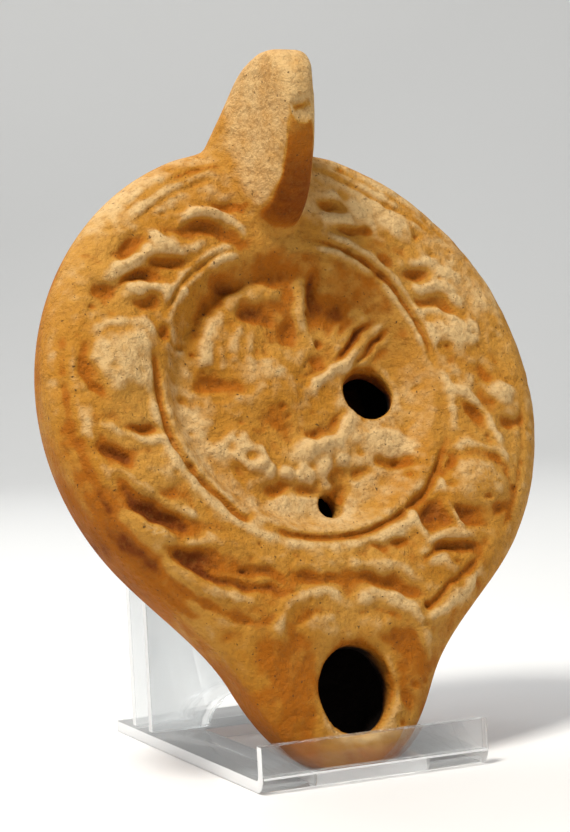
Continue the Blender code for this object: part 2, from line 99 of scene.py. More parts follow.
# Handle, from the slices of the solids with squarer corners: height, front, back, middle
# across, half width, and the corners, from 1 for an ellipse down to 0 for a rectangle
HANDLE_SPREAD = 0.25
HANDLE_SLICES = (
    (16.5, 29.5, 39.5, 1.4, 6.0, 1.0),
    (19.5, 27.6, 43.0, 1.0, 7.8, 1.0),
    (22.5, 26.2, 46.8, 0.6, 9.0, 1.0),
    (25.5, 26.2, 49.4, 0.8, 8.2, 0.95),
    (27.5, 26.6, 50.8, 1.1, 6.6, 0.7),
    (30.0, 27.6, 52.2, 1.2, 5.4, 0.5),
    (33.0, 29.2, 53.1, 1.2, 4.7, 0.42),
    (36.0, 31.2, 53.4, 1.0, 4.2, 0.4),
    (39.5, 34.3, 52.9, 0.6, 3.7, 0.4),
    (42.5, 37.8, 51.6, 0.2, 3.4, 0.45),
    (44.7, 41.5, 49.7, -0.2, 2.8, 0.6),
    (45.7, 44.0, 48.0, -0.3, 1.8, 0.8),
    (46.1, 45.9, 46.1, -0.3, 0.1, 0.9),
)

# Where the lamp sits in the easel, in metres, as in the solids
LEAN = math.radians(19.94)
YAW = math.radians(4.88)
TURN = math.radians(-1.26)
SEAT_AT = (-0.0030, -0.009726, 0.050495)

# Easel, in metres
SHEET = 0.0020
TRAY_WIDTH = 0.0380
TRAY_DEPTH = 0.0668
LIP_HEIGHT = 0.0073
BEND_RADIUS = 0.0026
CUTOUT_WIDTH = 0.0190
CUTOUT_LENGTH = 0.0460
UPRIGHT_DEPTH = 0.0102
UPRIGHT_SETBACK = 0.0085
ARCH_WIDTH = 0.0170
ARCH_RISE = 0.0055
TRAY_BACK = UPRIGHT_SETBACK + UPRIGHT_DEPTH / 2.0
TRAY_FRONT = TRAY_BACK - TRAY_DEPTH
GAP = 0.0003
SHEET_BEVEL = 0.00018
BEVEL_ANGLE = math.radians(40)
SHARP_ANGLE = math.radians(30)
# Faces of the sheet across its thickness are smaller than this, in square metres
END_AREA = 0.0001

# Fineness of the meshes
ANGLE_COUNT = 760
FINE_ANGLES = 5761
NOZZLE_EXTRA = 1.2
NOZZLE_SPREAD = math.radians(17.0)
HALVINGS = 40
SHOULDER_FROM = 28.0
DISCUS_STEPS = 78
SHOULDER_STEPS = 39
EDGE_STEPS = 13
BELLY_STEPS = 36
KEPT_SHARE = 0.62
CAVITY_ANGLES = 96
CAVITY_SHARES = (0.25, 0.45, 0.6, 0.72, 0.84, 0.93)
CAVITY_STEPS = 8
HANDLE_SIDES = 110
HANDLE_LEVELS = 110
HANDLE_ROUNDS = 10
TUBE_SIDES = 72
TUBE_LEVELS = 14

# Height map in millimetres, and how far its marks are drawn, in their half sizes
PITCH = 0.15
MAP_X = (-50.0, 50.0)
MAP_Y = (-66.0, 54.0)
HOLLOW_REACH = 2.4
STROKE_REACH = 3.0

# Relief in millimetres, placed by (x, y) from the discus centre.
# Swells are full rounded lumps: (x, y, half length, half width, turn in degrees, height).
SWELLS = (
    (-3.5, 1.4, 7.8, 5.4, -20, 1.0),
    (-7.8, 9.2, 6.4, 4.4, 55, 0.6),
    (-0.5, 6.0, 6.0, 3.4, 0, 0.5),
    (2.0, -9.2, 7.6, 2.8, 8, 0.8),
    (-7.8, -12.0, 1.9, 1.7, 0, 0.7),
    (-4.3, -12.7, 2.0, 1.8, 0, 0.7),
    (-0.7, -13.1, 2.0, 1.8, 0, 0.7),
    (3.0, -12.2, 2.0, 1.7, 0, 0.7),
    (6.8, -11.4, 2.0, 1.6, 0, 0.6),
    (-11.0, -9.6, 3.8, 3.6, 0, 0.8),
    (15.0, -8.6, 5.4, 2.8, -5, 0.4),
    (-30.0, 6.0, 6.8, 6.6, 0, 1.3),
    (28.2, -17.3, 6.2, 6.0, 0, 1.3),
    (29.8, 8.4, 5.4, 4.0, 0, 0.9),
    (-28.0, -12.0, 6.4, 3.4, 18, 0.8),
    (-31.2, -21.6, 5.6, 2.6, -38, 0.6),
    (-21.8, -23.4, 5.4, 1.9, -22, 0.5),
    (-26.5, 20.6, 5.6, 2.2, 12, 0.5),
    (-19.6, 25.0, 4.6, 2.2, 35, 0.6),
    (20.6, 20.6, 4.4, 3.6, -40, 0.6),
    (30.0, 18.4, 4.6, 2.0, -14, 0.5),
    (23.4, 27.6, 3.8, 2.2, -40, 0.5),
    (36.4, -2.0, 2.6, 3.2, 0, 0.7),
    (29.4, -3.2, 3.0, 3.6, 10, 0.5),
    (-6.4, -37.8, 4.8, 3.4, -15, 0.4),
    (6.4, -38.2, 4.8, 3.4, 15, 0.4),
    (18.6, -30.2, 5.4, 1.8, -28, 0.5),
    (-2.0, -28.6, 6.0, 2.4, 0, 0.4),
)
# Hollows fade out softly: (x, y, half length, half width, turn in degrees, depth).
HOLLOWS = (
    (-14.6, 2.9, 2.9, 1.8, 0, 1.0),
    (-10.0, 2.5, 3.6, 1.0, -5, 0.5),
    (-8.6, 18.7, 3.8, 1.3, -20, 0.9),
    (-12.6, 16.6, 3.0, 1.6, 48, 0.4),
    (-4.8, 14.2, 2.1, 1.7, 0, 0.9),
    (1.6, 10.9, 2.0, 1.9, 0, 0.9),
    (-1.0, 12.6, 4.0, 2.2, -25, 0.4),
    (7.0, 16.2, 1.3, 4.6, 6, 0.9),
    (11.4, 13.4, 3.8, 2.3, -35, 0.8),
    (5.8, 5.3, 1.7, 1.6, 0, 0.8),
    (-3.6, -1.5, 3.2, 2.2, -20, 0.3),
    (2.6, -6.5, 2.2, 0.9, 5, 0.8),
    (7.0, -4.2, 2.6, 0.8, 38, 0.7),
    (-12.0, -11.7, 0.9, 1.5, 35, 0.9),
    (-10.1, -9.5, 1.1, 0.8, 0, 0.6),
    (-6.4, -15.0, 2.3, 1.0, 0, 1.0),
    (-1.0, -15.9, 2.8, 1.0, -5, 1.0),
    (5.4, -14.2, 2.0, 0.8, 12, 0.7),
    (9.6, -13.6, 2.2, 0.7, 20, 0.8),
    (16.3, -12.4, 2.4, 0.7, -8, 0.9),
    (18.0, -11.3, 0.5, 0.5, 0, 0.5),
    (17.2, -14.4, 0.5, 0.5, 0, 0.5),
    (6.8, 8.7, 0.5, 0.6, 0, 1.0),
    (-22.3, 10.3, 0.7, 1.0, 0, 1.2),
    (4.8, -16.9, 2.3, 1.5, 38, 1.7),
    (-11.6, 27.4, 5.4, 1.2, -10, 1.1),
    (-6.9, 31.2, 2.8, 0.9, 4, 0.9),
    (-25.8, 24.0, 2.4, 1.3, 20, 0.9),
    (-20.0, 21.8, 3.4, 1.2, 8, 1.0),
    (-25.2, 18.8, 3.4, 1.0, 5, 1.0),
    (-31.2, 17.2, 2.0, 1.4, 45, 1.0),
    (-24.6, 14.8, 2.6, 1.1, 0, 0.9),
    (-35.4, 4.6, 1.1, 3.2, 10, 0.5),
    (-29.0, 1.0, 1.8, 1.2, 0, 0.5),
    (11.8, 32.0, 2.2, 1.1, -10, 1.0),
    (14.6, 33.8, 1.3, 0.8, -40, 0.7),
    (15.0, 27.2, 2.8, 1.0, -8, 1.0),
    (17.4, 27.6, 0.8, 0.8, 0, 0.7),
    (20.0, 21.4, 2.0, 1.2, -60, 0.7),
    (18.2, 18.8, 1.6, 1.0, 0, 0.5),
    (25.8, 18.6, 3.0, 1.0, -4, 1.0),
    (28.0, 13.9, 3.6, 0.9, -3, 0.8),
    (27.3, 25.6, 0.6, 0.6, 0, 0.7),
    (28.3, 5.7, 0.6, 0.5, 0, 0.7),
    (-28.6, -5.3, 3.0, 1.0, -3, 1.1),
    (-34.2, -8.9, 3.4, 1.2, -33, 1.1),
    (-29.2, -18.9, 6.2, 1.5, -28, 1.2),
    (-24.6, -25.6, 4.6, 1.4, -18, 1.0),
    (30.4, -5.4, 3.0, 1.1, -46, 1.0),
    (37.4, -7.8, 1.9, 1.0, 0, 0.9),
    (33.6, 1.6, 2.2, 1.0, -20, 0.5),
    (24.0, -13.2, 1.6, 1.0, 50, 0.7),
    (25.2, -22.4, 1.9, 1.1, 0, 0.9),
    (30.8, -21.8, 1.7, 1.1, 20, 0.7),
    (18.3, -21.6, 2.8, 2.1, -10, 1.2),
    (21.4, -27.4, 4.6, 1.0, -6, 0.9),
    (6.6, -26.7, 2.2, 0.6, 0, 0.7),
    (11.5, -25.7, 1.7, 0.6, 0, 0.7),
    (8.2, -32.7, 5.6, 0.9, -16, 1.0),
    (-14.0, -29.6, 4.2, 1.0, -20, 0.8),
    (-5.0, -30.6, 3.0, 0.8, -5, 0.6),
    (25.2, -33.1, 0.8, 0.6, 0, 0.8),
    (14.4, -36.4, 0.7, 0.6, 0, 0.7),
    (-8.0, -45.6, 1.2, 1.8, 0, 0.4),
    (8.6, -50.4, 1.2, 2.4, 10, 0.4),
)
# Strokes are soft ridges along a curve, grooves where the height is negative:
# (height, half width, (x, y), (x, y), ...).
STROKES = (
    (-0.45, 0.35, (18.0, 12.9), (13.9, 9.9), (10.2, 7.2), (7.0, 4.9)),
    (0.4, 0.45, (20.0, 9.8), (16.4, 7.8), (12.8, 5.2)),
    (0.4, 0.45, (15.0, 14.8), (11.4, 11.8), (8.4, 9.2)),
    (0.94, 1.56, (-14.8, 5.0), (-13.4, 9.2), (-10.9, 13.1), (-8.1, 15.6), (-4.8, 17.0), (-1.0, 18.2),
     (3.2, 18.4)),
    (0.27, 0.65, (-11.8, 4.8), (-11.0, 8.6), (-9.2, 11.8)),
    (0.27, 0.65, (-9.6, 5.0), (-8.8, 9.5), (-6.6, 12.8)),
    (0.23, 0.65, (-7.2, 4.6), (-6.6, 8.4), (-4.6, 11.6)),
    (0.78, 1.3, (5.4, 20.4), (4.4, 17.0), (3.9, 13.5), (3.6, 10.2)),
    (0.86, 1.17, (19.0, 12.4), (14.6, 9.0), (10.5, 6.2), (6.4, 3.2), (3.0, 0.2)),
    (0.55, 0.91, (16.6, 14.0), (12.6, 10.6), (9.2, 7.8)),
    (-0.54, 0.57, (19.2, 10.8), (14.8, 7.8), (11.4, 5.2)),
    (-0.45, 0.49, (16.4, 11.9), (12.6, 8.9), (9.0, 6.4)),
    (0.7, 1.43, (-0.8, -8.4), (3.5, -8.2), (7.6, -5.8), (9.6, -3.6)),
    (0.55, 1.04, (-15.4, -9.8), (-13.8, -6.4), (-9.6, -5.6)),
    (0.39, 0.78, (-8.4, -6.8), (-8.2, -10.0), (-10.2, -12.6)),
    (0.31, 1.04, (8.0, -7.6), (13.0, -7.0), (19.0, -8.4)),
    (-0.36, 0.33, (-22.3, 9.8), (-20.8, 8.9), (-18.4, 9.4)),
    (0.7, 1.04, (-17.4, 28.8), (-13.0, 29.8), (-8.8, 29.5)),
    (0.55, 0.91, (-10.2, 30.0), (-6.8, 28.6), (-4.2, 26.8)),
    (0.62, 1.17, (-28.0, 17.4), (-24.2, 17.0), (-20.2, 16.6)),
    (0.62, 1.04, (-30.0, 21.6), (-25.6, 21.4), (-21.4, 23.6)),
    (0.55, 1.04, (-22.6, 26.6), (-17.6, 24.4), (-12.4, 25.0)),
    (0.55, 0.91, (-35.8, 10.3), (-31.3, 12.3), (-26.3, 11.8), (-23.8, 8.7)),
    (-0.54, 0.49, (-37.0, 7.0), (-36.4, 3.0), (-34.0, 0.2)),
    (0.62, 1.04, (9.2, 29.8), (12.6, 28.8), (15.6, 29.6)),
    (0.55, 0.91, (12.0, 34.6), (15.8, 32.6), (17.8, 30.0)),
    (0.7, 1.04, (22.6, 16.3), (26.0, 16.5), (29.8, 15.8), (33.0, 13.4)),
    (0.47, 0.78, (23.6, 21.6), (26.8, 21.0), (30.4, 20.8)),
    (0.47, 0.78, (24.6, 11.8), (28.0, 12.8), (31.8, 11.0)),
    (0.55, 0.91, (-25.4, -7.2), (-29.2, -7.4), (-33.4, -5.6), (-36.0, -3.2)),
    (0.55, 0.91, (-37.6, -11.6), (-33.4, -13.2), (-28.4, -16.6), (-23.0, -19.8)),
    (0.47, 0.91, (-34.0, -19.0), (-29.8, -22.4), (-24.0, -23.8)),
    (-0.63, 0.49, (-27.6, -25.4), (-21.0, -28.8), (-15.4, -31.6), (-10.6, -33.0)),
    (0.55, 0.91, (-29.4, -27.0), (-22.0, -30.8), (-14.8, -34.0)),
    (0.55, 0.91, (27.0, -1.6), (31.0, -4.0), (33.6, -8.6), (34.6, -12.6)),
    (0.55, 0.78, (23.4, -12.4), (28.0, -10.4), (32.8, -11.8), (35.0, -15.4)),
    (-0.54, 0.49, (21.8, -14.6), (22.4, -19.4), (24.6, -23.6), (29.0, -24.8)),
    (0.7, 0.91, (21.4, -16.2), (22.6, -20.4), (23.0, -24.6)),
    (0.7, 0.91, (14.4, -20.0), (15.4, -22.8), (16.6, -25.4)),
    (0.55, 0.91, (15.6, -27.0), (20.4, -25.2), (24.4, -25.8)),
    (-0.63, 0.49, (14.8, -29.6), (18.6, -28.0), (22.4, -26.9), (27.2, -27.4)),
    (0.55, 1.04, (1.0, -29.4), (7.6, -29.8), (13.6, -32.2)),
    (-0.45, 0.49, (-9.8, -37.6), (-6.4, -35.8), (-2.4, -36.6)),
    (-0.45, 0.49, (2.0, -37.0), (5.6, -36.2), (9.4, -38.6)),
    (0.62, 1.04, (12.8, -39.2), (16.4, -37.8), (20.4, -36.0), (26.0, -31.4)),
    (-0.63, 0.49, (14.2, -36.4), (17.8, -34.8), (21.5, -32.4), (26.2, -28.6)),
)
# The rings, the grooves round the edge and the scrolls by the nozzle, which run smoothly.
LINES = (
    (-0.9, 0.49, (-24.6, 8.0), (-25.0, 2.0), (-24.8, -3.0), (-23.7, -8.6), (-21.9, -11.8), (-20.3, -14.1),
     (-17.6, -16.9), (-15.6, -19.8), (-14.2, -20.4), (-12.2, -19.2)),
    (-0.9, 0.49, (-10.6, -22.0), (-7.0, -23.4), (-3.0, -24.2), (0.8, -24.4), (4.4, -24.2), (7.4, -23.6),
     (11.0, -22.4), (14.1, -20.8), (17.0, -19.0), (19.1, -17.4), (21.9, -13.6), (24.4, -9.2)),
    (0.39, 0.91, (-26.2, 4.0), (-26.4, -2.0), (-25.2, -9.0), (-21.8, -15.2), (-17.2, -20.2), (-13.2, -22.8),
     (-7.0, -25.4), (1.0, -26.2), (8.6, -25.2), (16.0, -21.8), (21.6, -16.6)),
    (0.47, 0.59, (-20.8, 12.4), (-19.2, 15.3), (-15.3, 19.2), (-10.3, 22.3), (-5.6, 23.4)),
    (0.39, 0.52, (-22.2, 14.0), (-18.8, 18.4), (-15.2, 21.2), (-11.2, 23.6), (-6.2, 25.0)),
    (-0.36, 0.29, (-21.4, 13.3), (-17.3, 18.6), (-10.8, 23.0), (-6.0, 24.2)),
    (0.55, 0.65, (5.0, 24.6), (8.7, 24.0), (11.9, 22.8), (17.4, 18.7), (20.8, 13.7), (23.2, 8.4),
     (24.1, 4.4)),
    (0.47, 0.65, (9.2, 26.4), (14.0, 24.4), (19.4, 20.0), (22.8, 14.8), (25.2, 9.0), (26.0, 4.0)),
    (-0.54, 0.37, (7.0, 25.4), (12.9, 23.6), (18.4, 19.3), (21.8, 14.2), (24.2, 8.6), (25.2, 3.6)),
    (0.39, 0.78, (26.2, 2.0), (26.6, -3.0), (25.8, -8.6)),
    (0.7, 1.3, (-12.8, -40.6), (-12.2, -36.6), (-9.1, -33.9), (-4.1, -33.0), (-0.9, -34.8)),
    (0.7, 1.3, (0.7, -35.6), (4.7, -34.0), (9.1, -35.6), (11.9, -38.9), (13.6, -43.9)),
    (-0.54, 0.49, (-11.4, -35.2), (-14.7, -36.9), (-18.0, -36.1), (-23.0, -33.3), (-29.1, -27.8),
     (-34.1, -21.7), (-37.4, -13.9), (-39.7, -5.6), (-39.9, 0.0), (-39.6, 6.0), (-38.0, 14.0)),
    (0.39, 0.78, (-19.6, -34.0), (-24.4, -30.2), (-30.2, -24.2), (-34.4, -16.4), (-37.2, -8.4),
     (-38.4, 0.0)),
    (-0.45, 0.41, (-21.0, -36.6), (-26.4, -32.8), (-32.0, -26.6), (-36.6, -19.0), (-39.8, -10.6),
     (-41.2, -2.0)),
    (-0.54, 0.41, (-25.6, 30.6), (-20.0, 34.2), (-14.7, 36.7), (-10.2, 38.2), (-5.8, 38.9)),
    (-0.36, 0.41, (-24.2, 28.6), (-18.4, 32.6), (-13.4, 34.8), (-9.0, 36.0)),
    (-0.54, 0.41, (11.1, 38.1), (16.3, 35.6), (21.3, 32.5), (26.9, 29.4), (30.4, 26.4)),
    (-0.36, 0.41, (14.0, 38.6), (19.4, 36.0), (25.0, 32.6), (29.8, 28.8), (34.0, 24.0)),
    (-0.36, 0.49, (30.0, -26.4), (34.6, -20.0), (38.4, -11.6), (40.6, -2.0)),
)
# Patches of slip with painted shade, darker, or of bare clay with painted highlight where the amount is
# negative:
# (x, y, half length, half width, amount).
PATCHES = (
    (1.0, 18.5, 10.0, 7.0, 0.85),
    (12.0, 13.5, 5.5, 5.0, 0.55),
    (15.5, 7.2, 4.4, 3.6, 0.70),
    (-9.5, 16.0, 5.0, 4.0, 0.35),
    (-4.0, -1.0, 4.0, 3.2, 0.60),
    (-14.0, 3.0, 4.0, 2.2, 0.35),
    (-30.0, -19.0, 7.5, 5.0, 0.70),
    (-24.0, -27.5, 9.0, 5.0, 0.75),
    (-13.0, -33.0, 6.0, 3.5, 0.45),
    (-34.0, -9.0, 4.0, 3.0, 0.30),
    (28.5, -18.5, 5.5, 5.0, 0.60),
    (18.5, -22.0, 5.0, 4.0, 0.60),
    (24.0, -29.0, 6.5, 3.6, 0.40),
    (2.0, -29.5, 10.0, 3.2, 0.35),
    (-25.5, 21.5, 7.0, 5.0, 0.30),
    (19.5, 20.5, 5.0, 4.0, 0.50),
    (-12.0, 28.5, 6.0, 2.6, 0.40),
    (31.0, -5.0, 4.5, 3.5, 0.30),
    (-12.0, -48.0, 3.5, 10.0, 0.70),
    (12.0, -47.0, 3.5, 8.0, 0.40),
    (0.0, -58.0, 9.0, 2.4, 0.50),
    (6.0, -41.0, 4.0, 2.4, 0.30),
    (0.0, -41.2, 6.5, 1.8, 0.50),
    (4.4, -17.0, 2.2, 1.5, 0.60),
    (-6.0, -15.4, 3.0, 1.0, 0.40),
    (0.0, -15.9, 3.0, 1.0, 0.40),
    (-7.6, -47.5, 1.8, 6.5, 0.55),
    (7.6, -47.5, 1.8, 6.5, 0.50),
    (0.0, -55.8, 5.5, 1.0, -0.50),
    (-3.0, -47.0, 22.0, 14.0, 0.32),
    (-35.0, -14.0, 6.0, 18.0, 0.40),
    (-4.0, -17.0, 13.0, 5.5, -0.40),
    (-18.5, -7.0, 5.5, 9.0, -0.35),
    (-27.0, 33.5, 12.0, 5.0, -0.55),
    (21.0, 32.5, 10.0, 6.0, -0.55),
    (34.0, 18.0, 6.5, 9.0, -0.45),
    (11.0, -8.0, 9.0, 4.0, -0.35),
    (-30.0, 7.0, 8.0, 7.0, -0.15),
    (0.0, -36.0, 9.0, 2.6, -0.25),
    (26.0, 2.0, 5.0, 8.0, -0.20),
)
# The chip in the handle's front, below its top, (x, z): middle, half sizes and depth.
CHIP_AT = (0.3, 44.1)
CHIP_HALF = (2.3, 1.0)
CHIP_DEPTH = 1.5
# Softening of the relief in millimetres, its scale, and shares for the strokes' ends
SOFTENING = 0.22
RELIEF_SCALE = 1.25
STROKE_FADE = 0.14
STROKE_END = 0.25
# Layers of noise: (amount, size of its lumps in millimetres, seed)
WARP_X = ((0.8, 6.0, 14), (0.45, 2.1, 15))
WARP_Y = ((0.8, 6.0, 16), (0.45, 2.1, 17))
LUMPS = ((0.17, 4.6, 11), (0.13, 1.9, 12))
GRAIN = ((0.10, 0.9, 13),)
CHIP_NOISE = ((0.5, 1.1, 21),)
HANDLE_WEAR = ((0.16, 5.0, 22), (0.08, 1.6, 23))
NOISE_CELLS = 32
# Pits, from the least to the most (x, y, half size, depth)
PIT_LEAST = (-42.0, -58.0, 0.3, 0.15)
PIT_MOST = (44.0, 42.0, 0.75, 0.5)
PIT_COUNT = 260
PIT_SEED = 7
PIT_SHAPE = 0.8
# Smoothing where the handle grows out of the top, places in millimetres
ROOT_X = 1.0
ROOT_HALF_WIDTH = 17.0
ROOT_Y = (22.0, 54.0)
ROOT_RISE = 0.4
ROOT_SPREAD = 3.6
ROOT_SHARE = 0.6
ROOT_ROUNDS = 40
# Painted shade and slip in the relief's hollows, painted highlight and wear on its ridges: blurs and scales
# of the height map, in millimetres
FINE_BLURS = (0.8, 0.2)
FINE_SCALE = 0.24
BROAD_BLURS = (2.6, 0.5)
BROAD_SCALE = 0.42
HANDLE_FROM = 27.5
# Painted shade and slip over the underside
UNDERSIDE_SLIP_AND_SHADE = 0.45
# Depth at which the painted shade inside each hole sets in, deeper on the filling hole's lit side
HOLE_SHADE_WICK = 0.7
HOLE_SHADE_AIR = 1.8
HOLE_SHADE_FILL = 1.2
HOLE_SHADE_LIT = 2.6
HOLE_SHADE_FADE = 1.4
# Colours of the clay, its bare parts with painted highlight, its slip with painted shade, grains, specks
# and the painted shade deep in the holes
CLAY_WARM = (0.45, 0.185, 0.016, 1.0)
CLAY_SOFT = (0.51, 0.245, 0.040, 1.0)
CLAY_BARE_AND_HIGHLIGHT = (0.65, 0.425, 0.185, 1.0)
SLIP_AND_SHADE_COLOUR = (0.37, 0.108, 0.004, 1.0)
DEEP_SLIP_AND_SHADE_COLOUR = (0.15, 0.030, 0.001, 1.0)
GRAIN_COLOUR = (0.26, 0.10, 0.015, 1.0)
SPECK_COLOUR = (0.06, 0.03, 0.012, 1.0)
HOLE_SHADE_COLOUR = (0.010, 0.006, 0.004, 1.0)

# Stage, lights and camera, in metres. A light is (name, place, target, size, power, colour).
FLOOR_HALF = 1.6
FLOOR_BEND = 0.35
FLOOR_BACK = 0.7
FLOOR_TURN = math.radians(-23.0)
FLOOR_COLOUR = (0.80, 0.80, 0.79, 1.0)
SKY_COLOUR = (0.93, 0.96, 1.0, 1.0)
SKY_STRENGTH = 0.27
MIDDLE = (0.0, -0.02, 0.06)
LIGHTS = (
    ("key", (-0.30, -0.22, 0.68), MIDDLE, (0.18, 0.18), 5.8, (1.0, 0.97, 0.91)),
    ("fill", (0.55, -0.55, 0.22), MIDDLE, (0.5, 0.5), 0.9, (0.97, 0.98, 1.0)),
    ("back", (-0.1, 0.5, 0.55), MIDDLE, (0.6, 0.3), 2.2, (1.0, 1.0, 1.0)),
    ("backdrop", (-0.3, -0.1, 1.5), (-0.45, 1.0, 0.7), (1.0, 0.5), 5.5, (1.0, 1.0, 1.0)),
)
LENS = 96.24
CAMERA_AT = (-0.142347, -0.357092, 0.069045)
CAMERA_RIGHT = (0.917289, -0.394655, -0.053173)
CAMERA_UP = (0.064142, 0.014642, 0.997833)


def smooth_step(value):
    share = np.clip(value, 0.0, 1.0)
    return share * share * (3.0 - 2.0 * share)


def outline_distance(x, y):
    """Signed distance to the plan outline: a disc run into a round nozzle."""
    body = np.hypot(x - BODY_CENTRE[0], y - BODY_CENTRE[1]) - BODY_RADIUS
    centre = -(NOZZLE_REACH - NOZZLE_RADIUS)
    aside = x - NOZZLE_DRIFT * np.clip(y / centre, 0.0, 1.0)
    nozzle = np.hypot(aside, np.maximum(centre - y, 0.0)) - NOZZLE_RADIUS
    nozzle = np.maximum(nozzle, y)
    near = np.clip(1.0 - np.abs(body - nozzle) / FLANK_FILLET, 0.0, 1.0)
    return np.minimum(body, nozzle) - near * near * FLANK_FILLET / 4.0


def outline_radius(angles, inset):
    """Radius at each angle where the outline, moved in by inset, is reached."""
    low = np.full_like(angles, FOOT_RADIUS)
    high = np.full_like(angles, NOZZLE_REACH * 1.2)
    for _ in range(HALVINGS):
        middle = (low + high) / 2.0
        outside = outline_distance(middle * np.cos(angles), middle * np.sin(angles)) + inset > 0.0
        high = np.where(outside, middle, high)
        low = np.where(outside, low, middle)
    return (low + high) / 2.0


def ray_angles(count):
    """Angles around the axis, closer together towards the nozzle."""
    fine = np.linspace(0.0, 2.0 * math.pi, FINE_ANGLES)
    off_nozzle = np.abs(np.angle(np.exp(1j * (fine + math.pi / 2.0))))
    density = 1.0 + NOZZLE_EXTRA * np.exp(-(off_nozzle / NOZZLE_SPREAD) ** 2)
    total = np.concatenate([[0.0], np.cumsum((density[1:] + density[:-1]) / 2.0)])
    return np.interp(np.arange(count) / count * total[-1], total, fine)


def nozzle_share(y):
    return smooth_step((-y - NOZZLE_START) / (NOZZLE_REACH - NOZZLE_START))


def widest_height(y):
    return BODY_WIDEST + (NOZZLE_WIDEST - BODY_WIDEST) * nozzle_share(y)


def crown_height(x, y):
    """The plain top, before relief and before its edge rolls over."""
    radius = np.hypot(x, y)
    crest = (DISCUS_RADIUS + BODY_RADIUS) / 2.0
    half = BODY_RADIUS - crest
    swell = SHOULDER_CROWN * np.clip(1.0 - ((radius - crest) / half) ** 2, 0.0, 1.0)
    sunk = DISCUS_DEPTH * smooth_step((DISCUS_RADIUS - radius) / DISCUS_SLOPE)
    return SHOULDER_HEIGHT + swell - sunk - NOZZLE_TOP_DROP * nozzle_share(y)


class HeightMap:
    """Heights over the lamp's top, on a grid of square cells, in millimetres."""

    def __init__(self):
        xs = np.arange(MAP_X[0], MAP_X[1] + PITCH, PITCH)
        ys = np.arange(MAP_Y[0], MAP_Y[1] + PITCH, PITCH)
        self.x, self.y = np.meshgrid(xs, ys)
        self.z = np.zeros_like(self.x)

    def window(self, low_x, high_x, low_y, high_y):
        """The cells inside a rectangle."""
        first = max(int((low_x - MAP_X[0]) / PITCH), 0)
        last = max(int((high_x - MAP_X[0]) / PITCH) + 2, 0)
        bottom = max(int((low_y - MAP_Y[0]) / PITCH), 0)
        top = max(int((high_y - MAP_Y[0]) / PITCH) + 2, 0)
        return (slice(bottom, top), slice(first, last))

    def around(self, centre_x, centre_y, half_length, half_width, turn, reach):
        """The cells near a centre, and their squared distance from it in half sizes."""
        far = max(half_length, half_width) * reach
        area = self.window(centre_x - far, centre_x + far, centre_y - far, centre_y + far)
        cosine = math.cos(math.radians(turn))
        sine = math.sin(math.radians(turn))
        x = self.x[area] - centre_x
        y = self.y[area] - centre_y
        along = (x * cosine + y * sine) / half_length
        across = (y * cosine - x * sine) / half_width
        return area, along ** 2 + across ** 2

    def swell(self, *place):
        area, away = self.around(*place[:5], 1.0)
        self.z[area] += place[5] * np.clip(1.0 - away, 0.0, 1.0)

    def hollow(self, *place):
        area, away = self.around(*place[:5], HOLLOW_REACH)
        self.z[area] -= place[5] * np.exp(-away)

    def stroke(self, height, half_width, *marks):
        path = smooth_path(np.array(marks))
        reach = half_width * STROKE_REACH
        low = path.min(axis=0) - reach
        high = path.max(axis=0) + reach
        area = self.window(low[0], high[0], low[1], high[1])
        x = self.x[area]
        y = self.y[area]
        nearest = np.full(x.shape, 1e9)
        place = np.zeros(x.shape)
        runs = path[1:] - path[:-1]
        lengths = np.hypot(runs[:, 0], runs[:, 1])
        before = np.concatenate([[0.0], np.cumsum(lengths)])
        for start, run, length, done in zip(path, runs, lengths, before):
            share = np.clip(((x - start[0]) * run[0] + (y - start[1]) * run[1]) / length ** 2, 0.0, 1.0)
            away = np.hypot(x - start[0] - share * run[0], y - start[1] - share * run[1])
            place = np.where(away < nearest, (done + share * length) / before[-1], place)
            nearest = np.minimum(nearest, away)
        ends = smooth_step(place / STROKE_FADE) * smooth_step((1.0 - place) / STROKE_FADE)
        ends = STROKE_END + (1.0 - STROKE_END) * ends
        self.z[area] += height * ends * np.exp(-(nearest / half_width) ** 2)

    def rim(self, outside, rounding):
        """Rounds the edge of a hole, given each cell's distance outside it."""
        inward = np.clip(1.0 - outside / rounding, 0.0, 1.0)
        self.z -= rounding * (1.0 - np.sqrt(1.0 - inward ** 2))

    def at(self, field, x, y):
        """The field's values at places between the cells."""
        column = np.clip((x - MAP_X[0]) / PITCH, 0.0, field.shape[1] - 1.001)
        row = np.clip((y - MAP_Y[0]) / PITCH, 0.0, field.shape[0] - 1.001)
        left = column.astype(int)
        low = row.astype(int)
        across = column - left
        up = row - low
        below = field[low, left] * (1.0 - across) + field[low, left + 1] * across
        above = field[low + 1, left] * (1.0 - across) + field[low + 1, left + 1] * across
        return below * (1.0 - up) + above * up


def smooth_path(marks):
    """A curve through the marks, as closely spaced points."""
    ends = np.concatenate([[2.0 * marks[0] - marks[1]], marks, [2.0 * marks[-1] - marks[-2]]])
    points = []
    for before, start, end, after in zip(ends, ends[1:], ends[2:], ends[3:]):
        for share in (0.0, 0.25, 0.5, 0.75):
            points.append(0.5 * (2.0 * start + (end - before) * share
                                 + (2.0 * before - 5.0 * start + 4.0 * end - after) * share ** 2
                                 + (3.0 * start - before - 3.0 * end + after) * share ** 3))
    points.append(marks[-1])
    return np.array(points)


def blur(field, spread):
    """Gaussian smoothing, spread in millimetres."""
    reach = int(spread * 3.0 / PITCH)
    taps = np.exp(-0.5 * (np.arange(-reach, reach + 1) * PITCH / spread) ** 2)
    taps /= taps.sum()
    for axis in (0, 1):
        pad = [(0, 0), (0, 0)]
        pad[axis] = (reach, reach)
        wide = np.pad(field, pad, mode="edge")
        count = field.shape[axis]
        field = sum(tap * np.take(wide, range(index, index + count), axis=axis)
                    for index, tap in enumerate(taps))
    return field


